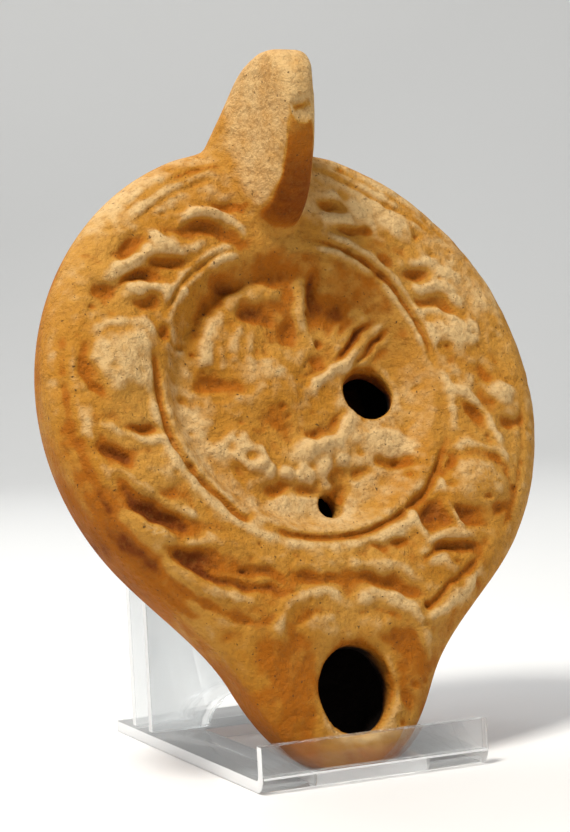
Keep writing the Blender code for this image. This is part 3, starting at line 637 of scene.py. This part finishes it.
def lattice_noise(points, size, seed):
    """Smooth noise from -1 to 1 at points, with lumps of the given size."""
    table = np.random.default_rng(seed).uniform(-1.0, 1.0, (NOISE_CELLS,) * 3)
    place = points / size
    cell = np.floor(place).astype(int)
    part = place - cell
    part = part * part * (3.0 - 2.0 * part)
    total = np.zeros(len(points))
    for corner in range(8):
        step = np.array([corner & 1, corner >> 1 & 1, corner >> 2 & 1])
        weight = np.prod(np.where(step == 1, part, 1.0 - part), axis=1)
        index = (cell + step) % NOISE_CELLS
        total += weight * table[index[:, 0], index[:, 1], index[:, 2]]
    return total


def layered_noise(points, layers):
    return sum(amount * lattice_noise(points, size, seed) for amount, size, seed in layers)


def map_noise(made, layers):
    flat = np.stack([made.x.ravel(), made.y.ravel(), np.zeros(made.x.size)], axis=1)
    return layered_noise(flat, layers).reshape(made.x.shape)


def build_map():
    """The relief: marks drawn and warped, then lines, wear, pits and the holes' rims."""
    made = HeightMap()
    for place in SWELLS:
        made.swell(*place)
    for place in HOLLOWS:
        made.hollow(*place)
    for marks in STROKES:
        made.stroke(*marks)
    made.z = made.at(made.z, made.x + map_noise(made, WARP_X), made.y + map_noise(made, WARP_Y))
    for marks in LINES:
        made.stroke(*marks)
    made.z = RELIEF_SCALE * blur(made.z, SOFTENING)
    made.z += map_noise(made, LUMPS)
    made.z += map_noise(made, GRAIN)
    rng = np.random.default_rng(PIT_SEED)
    for x, y, size, depth in rng.uniform(PIT_LEAST, PIT_MOST, (PIT_COUNT, 4)):
        made.hollow(x, y, size, size * PIT_SHAPE, 0.0, depth)
    made.rim(np.hypot(made.x - FILL_AT[0], made.y - FILL_AT[1]) - FILL_RADIUS, FILL_RIM)
    made.rim(np.hypot(made.x - AIR_AT[0], made.y - AIR_AT[1]) - AIR_RADIUS, AIR_RIM)
    across = (made.x - WICK_AT[0]) / WICK_HALF[0]
    along = (made.y - WICK_AT[1]) / WICK_HALF[1]
    made.rim((np.hypot(across, along) - 1.0) * WICK_HALF[0], WICK_RIM)
    return made


def top_height(x, y, relief, inset=0.0):
    inward = np.clip((-outline_distance(x, y) - inset) / EDGE_ROLL, 0.0, 1.0)
    roll = np.sqrt(np.clip(1.0 - (1.0 - inward) ** 2, 0.0, 1.0))
    low = widest_height(y)
    return low + (crown_height(x, y) + relief - low) * roll


def under_height(share, high):
    """The underside, at a share of the way from the foot to the outline."""
    return high - (high - FOOT_HEIGHT) * (1.0 - share ** BELLY_POWER) ** (1.0 / BELLY_POWER)


def grid_mesh(name, levels, top, bottom):
    """A closed mesh from stacked rings of points and a point at each end, in millimetres."""
    count = len(levels[0])
    rows = len(levels)
    points = np.concatenate([[top], *levels, [bottom]]) * MM
    index = np.arange(count)
    follow = (index + 1) % count
    upper = 1 + np.arange(rows - 1)[:, None] * count
    lower = upper + count
    quads = np.stack([upper + index, lower + index, lower + follow, upper + follow], axis=2)
    faces = quads.reshape(-1, 4).tolist()
    last = 1 + (rows - 1) * count
    pairs = list(zip(index.tolist(), follow.tolist()))
    faces += [(0, 1 + near, 1 + far) for near, far in pairs]
    faces += [(len(points) - 1, last + far, last + near) for near, far in pairs]
    made = bpy.data.meshes.new(name)
    made.from_pydata(points.tolist(), [], faces)
    made.validate()
    return made


def ring_points(angles, radii, heights):
    return np.stack([radii * np.cos(angles), radii * np.sin(angles), heights], axis=1)


def body_mesh(top_map):
    """The outer skin, in rings from the discus centre out, under and in to the foot."""
    angles = ray_angles(ANGLE_COUNT)
    edge = outline_radius(angles, 0.0)
    stations = []
    for step in range(1, DISCUS_STEPS + 1):
        stations.append(np.full_like(angles, SHOULDER_FROM * step / DISCUS_STEPS))
    for step in range(1, SHOULDER_STEPS + 1):
        stations.append(SHOULDER_FROM + (edge - EDGE_ROLL - SHOULDER_FROM) * step / SHOULDER_STEPS)
    for step in range(1, EDGE_STEPS):
        stations.append(edge - EDGE_ROLL * (1.0 - math.sin(step / EDGE_STEPS * math.pi / 2.0)))
    levels = []
    for radii in stations:
        x = radii * np.cos(angles)
        y = radii * np.sin(angles)
        levels.append(ring_points(angles, radii, top_height(x, y, top_map.at(top_map.z, x, y))))
    for step in range(BELLY_STEPS + 1):
        share = math.cos(step / BELLY_STEPS * math.pi / 2.0)
        radii = FOOT_RADIUS + (edge - FOOT_RADIUS) * share
        high = widest_height(radii * np.sin(angles))
        levels.append(ring_points(angles, radii, under_height(share, high)))
    ring = FOOT_RADIUS - FOOT_RING
    foot = ((FOOT_RADIUS - FOOT_RECESS / 2.0, 0.0), (ring, 0.0), (ring - FOOT_RECESS, FOOT_RECESS))
    for radius, height in foot:
        levels.append(ring_points(angles, np.full_like(angles, radius), np.full_like(angles, height)))
    zero = np.zeros(1)
    centre = float(top_height(zero, zero, top_map.at(top_map.z, zero, zero))[0])
    return grid_mesh("lamp_body", levels, (0.0, 0.0, centre), (0.0, 0.0, FOOT_RECESS))


def cavity_mesh():
    """The hollow inside: the outer form without relief, moved in by the wall."""
    angles = ray_angles(CAVITY_ANGLES)
    edge = outline_radius(angles, WALL)
    levels = []
    for share in CAVITY_SHARES:
        radii = edge * share
        heights = top_height(radii * np.cos(angles), radii * np.sin(angles), -WALL, WALL)
        levels.append(ring_points(angles, radii, heights))
    for step in range(CAVITY_STEPS + 1):
        share = math.cos(step / CAVITY_STEPS * math.pi / 2.0)
        radii = FOOT_RADIUS - WALL / 2.0 + (edge - FOOT_RADIUS + WALL / 2.0) * share
        high = widest_height(radii * np.sin(angles))
        low = FOOT_HEIGHT + WALL
        levels.append(ring_points(angles, radii, high - (high - low) * math.sqrt(1.0 - share ** 2)))
    zero = np.zeros(1)
    centre = float(crown_height(zero, zero)[0])
    return grid_mesh("cavity", levels, (0.0, 0.0, centre - WALL), (0.0, 0.0, FOOT_HEIGHT + WALL))


def handle_mesh():
    """The fin: level slices, each between an ellipse and a rectangle, with a chip at its front."""
    slices = np.array(HANDLE_SLICES)
    rise = np.sin(np.linspace(0.0, math.pi / 2.0, HANDLE_LEVELS))
    heights = slices[0, 0] + (slices[-1, 0] - slices[0, 0]) * rise
    values = [np.interp(heights, slices[:, 0], slices[:, column]) for column in range(1, 6)]
    for _ in range(HANDLE_ROUNDS):
        for value in values:
            value[1:-1] = (value[:-2] + 2.0 * value[1:-1] + value[2:]) / 4.0
    angles = 2.0 * math.pi * np.arange(HANDLE_SIDES) / HANDLE_SIDES
    cosine = np.cos(angles)
    sine = np.sin(angles)
    levels = []
    for height, front, back, across, half, corner in zip(heights, *values):
        depth = np.copysign(np.abs(sine) ** corner, sine)
        aside = np.copysign(np.abs(cosine) ** corner, cosine)
        x = across + half * (1.0 + HANDLE_SPREAD * depth) * aside
        y = (front + back) / 2.0 + (back - front) / 2.0 * depth
        points = np.stack([x, y, np.full_like(x, height)], axis=1)
        away = ((x - CHIP_AT[0]) / CHIP_HALF[0]) ** 2 + ((height - CHIP_AT[1]) / CHIP_HALF[1]) ** 2
        dent = CHIP_DEPTH * np.clip(1.0 - away, 0.0, 1.0) ** 0.5 * (y < (front + back) / 2.0)
        points[:, 1] += dent * (1.0 + layered_noise(points, CHIP_NOISE))
        wear = layered_noise(points, HANDLE_WEAR)
        points[:, 0] += wear * cosine
        points[:, 1] += wear * sine
        levels.append(points)
    levels.reverse()
    top = (levels[0][:, 0].mean(), levels[0][:, 1].mean(), heights[-1])
    return grid_mesh("handle", levels, top, (slices[0, 3], slices[0, 1:3].mean(), heights[0]))


def tube_mesh(name, half_x, half_y, half_depth, seed):
    """An upright cutter with a slightly uneven round wall, in millimetres."""
    angles = 2.0 * math.pi * np.arange(TUBE_SIDES) / TUBE_SIDES
    cosine = np.cos(angles)
    sine = np.sin(angles)
    levels = []
    for height in np.linspace(half_depth, -half_depth, TUBE_LEVELS):
        flat = np.full_like(angles, height)
        around = np.stack([cosine * TUBE_ROUND, sine * TUBE_ROUND, flat], axis=1)
        uneven = 1.0 + TUBE_UNEVEN * lattice_noise(around, TUBE_LUMPS, seed)
        levels.append(np.stack([half_x * cosine * uneven, half_y * sine * uneven, flat], axis=1))
    return grid_mesh(name, levels, (0.0, 0.0, half_depth), (0.0, 0.0, -half_depth))


def add_object(name, data):
    made = bpy.data.objects.new(name, data)
    bpy.context.scene.collection.objects.link(made)
    return made


def take_mesh(name, shape):
    made = bpy.data.meshes.new(name)
    shape.to_mesh(made)
    shape.free()
    return made


def hidden(name, mesh, matrix):
    """A cutter that is never rendered."""
    made = add_object(name, mesh)
    made.matrix_world = matrix
    made.hide_render = True
    made.hide_viewport = True
    return made


def settle(obj):
    """Replaces an object's mesh by what its modifiers make of it."""
    bpy.context.view_layer.update()
    made = bpy.data.meshes.new_from_object(obj.evaluated_get(bpy.context.evaluated_depsgraph_get()))
    obj.modifiers.clear()
    obj.data = made


def read_rows(items, field, width, kind):
    flat = np.zeros(len(items) * width, kind)
    items.foreach_get(field, flat)
    return flat.reshape(-1, width)


def read_points(items, field):
    return read_rows(items, field, 3, np.float32).astype(float)


def soften(mesh, share, rounds):
    """Smooths the vertices by the share given for each of them."""
    points = read_points(mesh.vertices, "co")
    edges = read_rows(mesh.edges, "vertices", 2, np.int32)
    count = np.bincount(edges.ravel(), minlength=len(points))[:, None]
    for _ in range(rounds):
        total = np.zeros_like(points)
        for axis in range(3):
            total[:, axis] = (np.bincount(edges[:, 0], points[edges[:, 1], axis], len(points))
                              + np.bincount(edges[:, 1], points[edges[:, 0], axis], len(points)))
        points += share[:, None] * (total / np.maximum(count, 1) - points)
    mesh.vertices.foreach_set("co", points.astype(np.float32).ravel())
    mesh.update()


def soften_root(mesh):
    """Lets the handle flow into the top, over a wider strip towards its back."""
    points = read_points(mesh.vertices, "co") / MM
    x, y, z = points.T
    root = (np.abs(x - ROOT_X) < ROOT_HALF_WIDTH) & (y > ROOT_Y[0]) & (y < ROOT_Y[1])
    joint = np.exp(-((z - SHOULDER_HEIGHT - ROOT_RISE) / ROOT_SPREAD) ** 2)
    beside = 6.0 + 5.0 * smooth_step((y - 36.0) / 6.0)
    near = np.exp(-np.maximum(np.abs(x - ROOT_X) - beside, 0.0) ** 2 / 4.0)
    soften(mesh, np.where(root, ROOT_SHARE * joint * near, 0.0), ROOT_ROUNDS)


def place_at(x, y, z):
    """A move given in millimetres."""
    return Matrix.Translation((x * MM, y * MM, z * MM))


def build_lamp(material):
    top_map = build_map()
    lamp = add_object("lamp_clay", body_mesh(top_map))
    thin = lamp.modifiers.new("thin", "DECIMATE")
    thin.ratio = KEPT_SHARE
    middle = SHOULDER_HEIGHT - WALL
    fill = FILL_RADIUS + HOLE_OVERCUT
    fill_at = (place_at(*FILL_AT, SHOULDER_HEIGHT - DISCUS_DEPTH)
               @ Matrix.Rotation(-FILL_LEAN[0], 4, "X") @ Matrix.Rotation(FILL_LEAN[1], 4, "Y"))
    air = AIR_RADIUS + HOLE_OVERCUT
    air_at = place_at(*AIR_AT, middle) @ Matrix.Rotation(AIR_LEAN, 4, "Y")
    wide = WICK_HALF[0] + WICK_OVERCUT
    long = WICK_HALF[1] + WICK_OVERCUT
    places = (
        ("handle", handle_mesh(), Matrix(), "UNION"),
        ("cavity", cavity_mesh(), Matrix(), "DIFFERENCE"),
        ("fill", tube_mesh("fill", fill, fill, HOLE_HALF_DEPTH, 3), fill_at, "DIFFERENCE"),
        ("air", tube_mesh("air", air, air, HOLE_HALF_DEPTH, 4), air_at, "DIFFERENCE"),
        ("wick", tube_mesh("wick", wide, long, WICK_HALF_DEPTH, 5), place_at(*WICK_AT, middle),
         "DIFFERENCE"),
    )
    for name, mesh, matrix, operation in places:
        step = lamp.modifiers.new(name, "BOOLEAN")
        step.operation = operation
        step.object = hidden("cutter_" + name, mesh, matrix)
        step.solver = "EXACT"
    settle(lamp)
    for name, _, _, _ in places:
        bpy.data.objects.remove(bpy.data.objects["cutter_" + name])
    mesh = lamp.data
    soften_root(mesh)
    colour_lamp(mesh, top_map)
    mesh.shade_smooth()
    mesh.materials.clear()
    mesh.materials.append(material)
    turned = (Matrix.Rotation(YAW, 4, "Z") @ Matrix.Rotation(math.pi / 2.0 - LEAN, 4, "X")
              @ Matrix.Rotation(TURN, 4, "Z"))
    mesh.transform(Matrix.Translation(SEAT_AT) @ turned)
    return lamp


def inside_depth(x, y, z, relief):
    """How far each point is below the lamp's outer skin."""
    angles = np.arctan2(y, x)
    edge = outline_radius(angles, 0.0)
    share = np.clip((np.hypot(x, y) - FOOT_RADIUS) / (edge - FOOT_RADIUS), 0.0, 1.0)
    under = under_height(share, widest_height(edge * np.sin(angles)))
    below = np.minimum(top_height(x, y, relief) - z, z - under)
    return np.minimum(below, -outline_distance(x, y))


def colour_lamp(mesh, top_map):
    """Stores per vertex how hollow it is, its slip with painted shade and highlight, and the painted shade
    deep in its holes.
    """
    points = read_points(mesh.vertices, "co") / MM
    normals = read_points(mesh.vertex_normals, "vector")
    x, y, z = points.T
    relief = top_map.z
    fine = blur(relief, FINE_BLURS[0]) - blur(relief, FINE_BLURS[1])
    broad = blur(relief, BROAD_BLURS[0]) - blur(relief, BROAD_BLURS[1])
    depth = inside_depth(x, y, z, top_map.at(relief, x, y))
    handle = smooth_step((z - HANDLE_FROM) / 2.0) * (depth < 0.0)
    on_top = smooth_step((z - BODY_WIDEST + 0.5) / 2.0) * smooth_step((normals[:, 2] - 0.1) / 0.4)
    on_top = on_top * (1.0 - handle)
    # How hollow the relief is: its hollows get painted shade and slip, its ridges painted highlight and
    # wear
    hollow = top_map.at(fine, x, y) / FINE_SCALE + top_map.at(broad, x, y) / BROAD_SCALE
    hollow = hollow * on_top
    # Slip together with painted shade; negative amounts give bare clay with painted highlight
    slip_and_shade = np.zeros(len(points))
    # Each patch adds slip with painted shade, or bare clay with painted highlight where its amount is
    # negative
    for centre_x, centre_y, half_length, half_width, amount in PATCHES:
        away = ((x - centre_x) / half_length) ** 2 + ((y - centre_y) / half_width) ** 2
        slip_and_shade += amount * np.exp(-away) * (1.0 - handle)
    # Painted shade and slip over the underside, below the body's widest line
    side = smooth_step((BODY_WIDEST + 2.0 - z) / 4.0)
    slip_and_shade += UNDERSIDE_SLIP_AND_SHADE * side * (1.0 - handle)
    # The handle's front faces darker, as slip and painted shade; the rest of the handle lighter, as painted
    # highlight
    front = smooth_step((-normals[:, 1] - 0.3) / 0.25)
    front = front * (0.62 * smooth_step((44.4 - z) / 0.8) + 0.5 * smooth_step((43.0 - z) / 5.0))
    slip_and_shade += handle * (1.6 * front - 0.45)
    # Painted shade deep inside the holes, setting in deeper on the filling hole's lit side
    by_fill = np.hypot(x - FILL_AT[0], y - FILL_AT[1]) < FILL_RADIUS + 2.5
    by_air = np.hypot(x - AIR_AT[0], y - AIR_AT[1]) < AIR_RADIUS + 2.0
    lit = smooth_step((y - FILL_AT[1]) / 2.0)
    start = np.where(by_fill, HOLE_SHADE_FILL + HOLE_SHADE_LIT * lit, np.where(by_air, HOLE_SHADE_AIR, HOLE_SHADE_WICK))
    hole_shade = smooth_step((depth - start) / HOLE_SHADE_FADE)
    # Painted shade down the filling hole's wall, darker with depth, carried with the slip
    slip_and_shade += np.where(by_fill, 1.1 * smooth_step((depth - 0.3) / 1.5), 0.0)
    for name, values in (("hollow", hollow), ("slip_and_shade", slip_and_shade), ("hole_shade", hole_shade)):
        layer = mesh.attributes.new(name, "FLOAT", "POINT")
        layer.data.foreach_set("value", np.clip(values, -2.0, 2.0).astype(np.float32))


class Nodes:
    """Short calls for making a material's nodes."""

    def __init__(self, name):
        self.material = bpy.data.materials.new(name)
        self.material.use_nodes = True
        self.tree = self.material.node_tree
        self.shader = self.tree.nodes["Principled BSDF"]

    def put(self, socket, value):
        if isinstance(value, bpy.types.NodeSocket):
            self.tree.links.new(value, socket)
        else:
            socket.default_value = value

    def add(self, kind, output, inputs, **settings):
        made = self.tree.nodes.new("ShaderNode" + kind)
        for name, value in settings.items():
            setattr(made, name, value)
        for name, value in inputs.items():
            self.put(made.inputs[name], value)
        return made.outputs[output]

    def attribute(self, name):
        return self.add("Attribute", "Fac", {}, attribute_name=name)

    def place(self, scale=(1.0, 1.0, 1.0)):
        source = self.add("TexCoord", "Object", {})
        return self.add("Mapping", "Vector", {"Vector": source, "Scale": scale})

    def noise(self, scale, detail=3.0, rough=0.55, vector=None):
        inputs = {"Scale": scale, "Detail": detail, "Roughness": rough}
        inputs["Vector"] = vector or self.place()
        return self.add("TexNoise", "Fac", inputs)

    def math(self, operation, first, second):
        return self.add("Math", 0, {0: first, 1: second}, operation=operation)

    def ramp(self, value, low, high, start=0.0, end=1.0):
        inputs = {"Value": value, "From Min": low, "From Max": high, "To Min": start, "To Max": end}
        return self.add("MapRange", "Result", inputs, interpolation_type="SMOOTHSTEP")

    def mix(self, share, first, second):
        return self.add("Mix", "Result", {"Factor": share, "A": first, "B": second}, data_type="RGBA")

    def bump(self, height, distance, normal=None):
        inputs = {"Distance": distance, "Height": height}
        if normal is not None:
            inputs["Normal"] = normal
        return self.add("Bump", "Normal", inputs)

    def finish(self, **inputs):
        """Sets the shader's inputs, named with _ for a space, and gives back the material."""
        for name, value in inputs.items():
            self.put(self.shader.inputs[name.replace("_", " ")], value)
        return self.material


def clay_material():
    nodes = Nodes("fired_clay")
    hollow = nodes.attribute("hollow")
    slip_and_shade = nodes.attribute("slip_and_shade")
    cloud = nodes.noise(45.0, 3.0)
    patch = nodes.noise(150.0, 4.0, 0.6)
    mottle = nodes.noise(420.0, 4.0, 0.6)
    grain = nodes.noise(1100.0, 4.0, 0.65)
    speck = nodes.noise(1500.0, 2.0, 0.5)
    base = nodes.mix(nodes.ramp(cloud, 0.35, 0.65), CLAY_WARM, CLAY_SOFT)
    uneven = nodes.math("MULTIPLY", nodes.math("SUBTRACT", patch, 0.5), 1.5)
    uneven = nodes.math("ADD", uneven, nodes.math("MULTIPLY", nodes.math("SUBTRACT", mottle, 0.5), 1.1))
    uneven = nodes.math("MULTIPLY", uneven, 0.8)
    # Painted shade and slip darken the hollows, painted highlight and wear lighten the ridges and the
    # handle
    stain_and_shade = nodes.math("ADD", nodes.math("MULTIPLY", hollow, 0.5), nodes.math("MULTIPLY", slip_and_shade, 1.25))
    light = nodes.math("SUBTRACT", uneven, stain_and_shade)
    base = nodes.mix(nodes.ramp(light, -0.15, 0.95), base, CLAY_BARE_AND_HIGHLIGHT)
    dark = nodes.math("ADD", uneven, stain_and_shade)
    base = nodes.mix(nodes.ramp(dark, 0.15, 1.0), base, SLIP_AND_SHADE_COLOUR)
    base = nodes.mix(nodes.ramp(dark, 1.0, 2.1), base, DEEP_SLIP_AND_SHADE_COLOUR)
    base = nodes.mix(nodes.ramp(grain, 0.44, 0.72, 0.0, 0.42), base, GRAIN_COLOUR)
    base = nodes.mix(nodes.ramp(speck, 0.68, 0.75, 0.0, 0.8), base, SPECK_COLOUR)
    # Painted shade deep inside the holes
    base = nodes.mix(nodes.attribute("hole_shade"), base, HOLE_SHADE_COLOUR)
    rough = nodes.ramp(patch, 0.3, 0.7, 0.60, 0.80)
    normal = nodes.bump(nodes.noise(230.0, 4.0, 0.6), 0.0010)
    normal = nodes.bump(nodes.noise(620.0, 5.0, 0.65), 0.0008, normal)
    normal = nodes.bump(nodes.noise(900.0, 3.0, 0.6, nodes.place((1.0, 0.16, 1.0))), 0.00016, normal)
    normal = nodes.bump(nodes.noise(2600.0, 3.0, 0.6), 0.00008, normal)
    return nodes.finish(Base_Color=base, Roughness=rough, Specular_IOR_Level=0.12, Normal=normal)


def clear_material(name, colour, roughness, clearness, cover):
    return Nodes(name).finish(Base_Color=(*colour, 1.0), Roughness=roughness, IOR=1.49,
                              Transmission_Weight=clearness, Alpha=cover)


def bent_strip(name, outline, width):
    """A closed prism along X from its side outline (y, z), in metres."""
    shape = bmesh.new()
    left = [shape.verts.new((-width / 2.0, y, z)) for y, z in outline]
    right = [shape.verts.new((width / 2.0, y, z)) for y, z in outline]
    shape.faces.new(list(reversed(left)))
    shape.faces.new(right)
    for index in range(len(outline)):
        follow = (index + 1) % len(outline)
        shape.faces.new((left[index], left[follow], right[follow], right[index]))
    bmesh.ops.recalc_face_normals(shape, faces=shape.faces)
    return add_object(name, take_mesh(name, shape))


def arc_points(centre, radius, start, end, steps):
    """Points (y, z) on an arc, angles in degrees from +Y towards +Z."""
    points = []
    for index in range(steps + 1):
        angle = math.radians(start + (end - start) * index / steps)
        points.append((centre[0] + radius * math.cos(angle), centre[1] + radius * math.sin(angle)))
    return points


def cut(obj, mesh, matrix):
    step = obj.modifiers.new("cut", "BOOLEAN")
    step.operation = "DIFFERENCE"
    step.object = hidden("cutter", mesh, matrix)
    step.solver = "EXACT"
    settle(obj)
    bpy.data.objects.remove(bpy.data.objects["cutter"])


def finish_sheet(obj, clear, edge):
    """Rounds the sheet's edges slightly and gives its sawn edges the frosted material."""
    rounding = obj.modifiers.new("rounding", "BEVEL")
    rounding.width = SHEET_BEVEL
    rounding.segments = 2
    rounding.limit_method = "ANGLE"
    rounding.angle_limit = BEVEL_ANGLE
    settle(obj)
    obj.data.materials.clear()
    obj.data.materials.append(clear)
    obj.data.materials.append(edge)
    for face in obj.data.polygons:
        sawn = abs(face.normal.x) > 0.99 or (abs(face.normal.y) > 0.99 and face.area < END_AREA)
        face.material_index = 1 if sawn else 0
    obj.data.shade_smooth()
    obj.data.set_sharp_from_angle(angle=SHARP_ANGLE)


def box_mesh(low, high):
    shape = bmesh.new()
    bmesh.ops.create_cube(shape, size=1.0)
    size = Vector(high) - Vector(low)
    middle = (Vector(high) + Vector(low)) / 2.0
    bmesh.ops.transform(shape, verts=shape.verts,
                        matrix=Matrix.Translation(middle) @ Matrix.Diagonal((*size, 1.0)))
    return take_mesh("box", shape)


def build_easel():
    clear = clear_material("clear_sheet", (0.94, 0.97, 0.98), 0.02, 1.0, 0.55)
    edge = clear_material("clear_sheet_edge", (1.0, 1.0, 1.0), 0.5, 0.2, 0.95)
    front = TRAY_FRONT
    centre = (front + BEND_RADIUS, BEND_RADIUS)
    outline = arc_points(centre, BEND_RADIUS, 270, 180, 12)
    outline += [(front, LIP_HEIGHT), (front + SHEET, LIP_HEIGHT)]
    outline += arc_points(centre, BEND_RADIUS - SHEET, 180, 270, 8)
    outline += [(TRAY_BACK, SHEET), (TRAY_BACK, 0.0)]
    tray = bent_strip("easel_tray", outline, TRAY_WIDTH)
    start = front + BEND_RADIUS
    cut(tray, box_mesh((-CUTOUT_WIDTH / 2.0, start, -SHEET),
                       (CUTOUT_WIDTH / 2.0, start + CUTOUT_LENGTH, 2.0 * SHEET)), Matrix())
    finish_sheet(tray, clear, edge)
    radius = UPRIGHT_DEPTH / 2.0
    foot = SHEET + GAP
    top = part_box("stand_upright")[1].z - radius
    outline = [(SHEET - radius, foot), (-radius, foot)]
    outline += arc_points((0.0, top), radius, 180, 0, 32)
    outline += [(radius, foot), (radius - SHEET, foot)]
    outline += arc_points((0.0, top), radius - SHEET, 0, 180, 26)
    upright = bent_strip("easel_upright", outline, TRAY_WIDTH)
    shape = bmesh.new()
    bmesh.ops.create_cone(shape, cap_ends=True, segments=64, radius1=0.5, radius2=0.5, depth=1.0)
    arch = take_mesh("arch", shape)
    stretch = Matrix.Diagonal((ARCH_WIDTH, 2.0 * ARCH_RISE, 2.0 * UPRIGHT_DEPTH, 1.0))
    laid = Matrix.Rotation(math.pi / 2.0, 4, "X") @ stretch
    cut(upright, arch, Matrix.Translation((0.0, 0.0, foot)) @ laid)
    finish_sheet(upright, clear, edge)
    return tray, upright


def build_stage():
    """A pale floor that curves up into a plain wall."""
    outline = [(-2.0, 0.0), (FLOOR_BACK, 0.0)]
    outline += arc_points((FLOOR_BACK, FLOOR_BEND), FLOOR_BEND, 270, 360, 16)
    outline += [(FLOOR_BACK + FLOOR_BEND, 2.2)]
    points = [(side * FLOOR_HALF, y, z) for side in (-1, 1) for y, z in outline]
    count = len(outline)
    faces = [(near, near + count, near + count + 1, near + 1) for near in range(count - 1)]
    mesh = bpy.data.meshes.new("floor")
    mesh.from_pydata(points, [], faces)
    mesh.materials.append(Nodes("floor").finish(Base_Color=FLOOR_COLOUR, Roughness=0.6))
    mesh.shade_smooth()
    floor = add_object("floor", mesh)
    floor.matrix_world = Matrix.Rotation(FLOOR_TURN, 4, "Z")


def area_light(name, place, target, size, power, colour):
    data = bpy.data.lights.new(name, "AREA")
    data.shape = "RECTANGLE"
    data.size = size[0]
    data.size_y = size[1]
    data.energy = power
    data.color = colour
    made = add_object(name, data)
    made.location = place
    made.rotation_euler = (Vector(target) - Vector(place)).to_track_quat("-Z", "Y").to_euler()


def build_lights():
    world = bpy.data.worlds.new("studio")
    world.use_nodes = True
    sky = world.node_tree.nodes["Background"]
    sky.inputs["Color"].default_value = SKY_COLOUR
    sky.inputs["Strength"].default_value = SKY_STRENGTH
    bpy.context.scene.world = world
    for values in LIGHTS:
        area_light(*values)


def build_camera():
    data = bpy.data.cameras.new("camera")
    data.sensor_fit = "VERTICAL"
    data.sensor_height = 36.0
    data.lens = LENS
    data.clip_start = 0.01
    data.clip_end = 10.0
    made = add_object("camera", data)
    right = Vector(CAMERA_RIGHT)
    up = Vector(CAMERA_UP)
    back = right.cross(up)
    turned = Matrix((right, up, back)).transposed().to_4x4()
    made.matrix_world = Matrix.Translation(CAMERA_AT) @ turned
    bpy.context.scene.camera = made


def main():
    lamp = build_lamp(clay_material())
    tray, upright = build_easel()
    pieces = (
        (lamp, "lamp", "fired_clay"),
        (tray, "stand_tray", "clear_sheet"),
        (upright, "stand_upright", "clear_sheet"),
    )
    for piece, node, slot in pieces:
        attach(piece, "root")
        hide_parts(node)
    build_stage()
    build_lights()
    build_camera()
    bpy.context.scene.view_settings.view_transform = "Standard"


main()
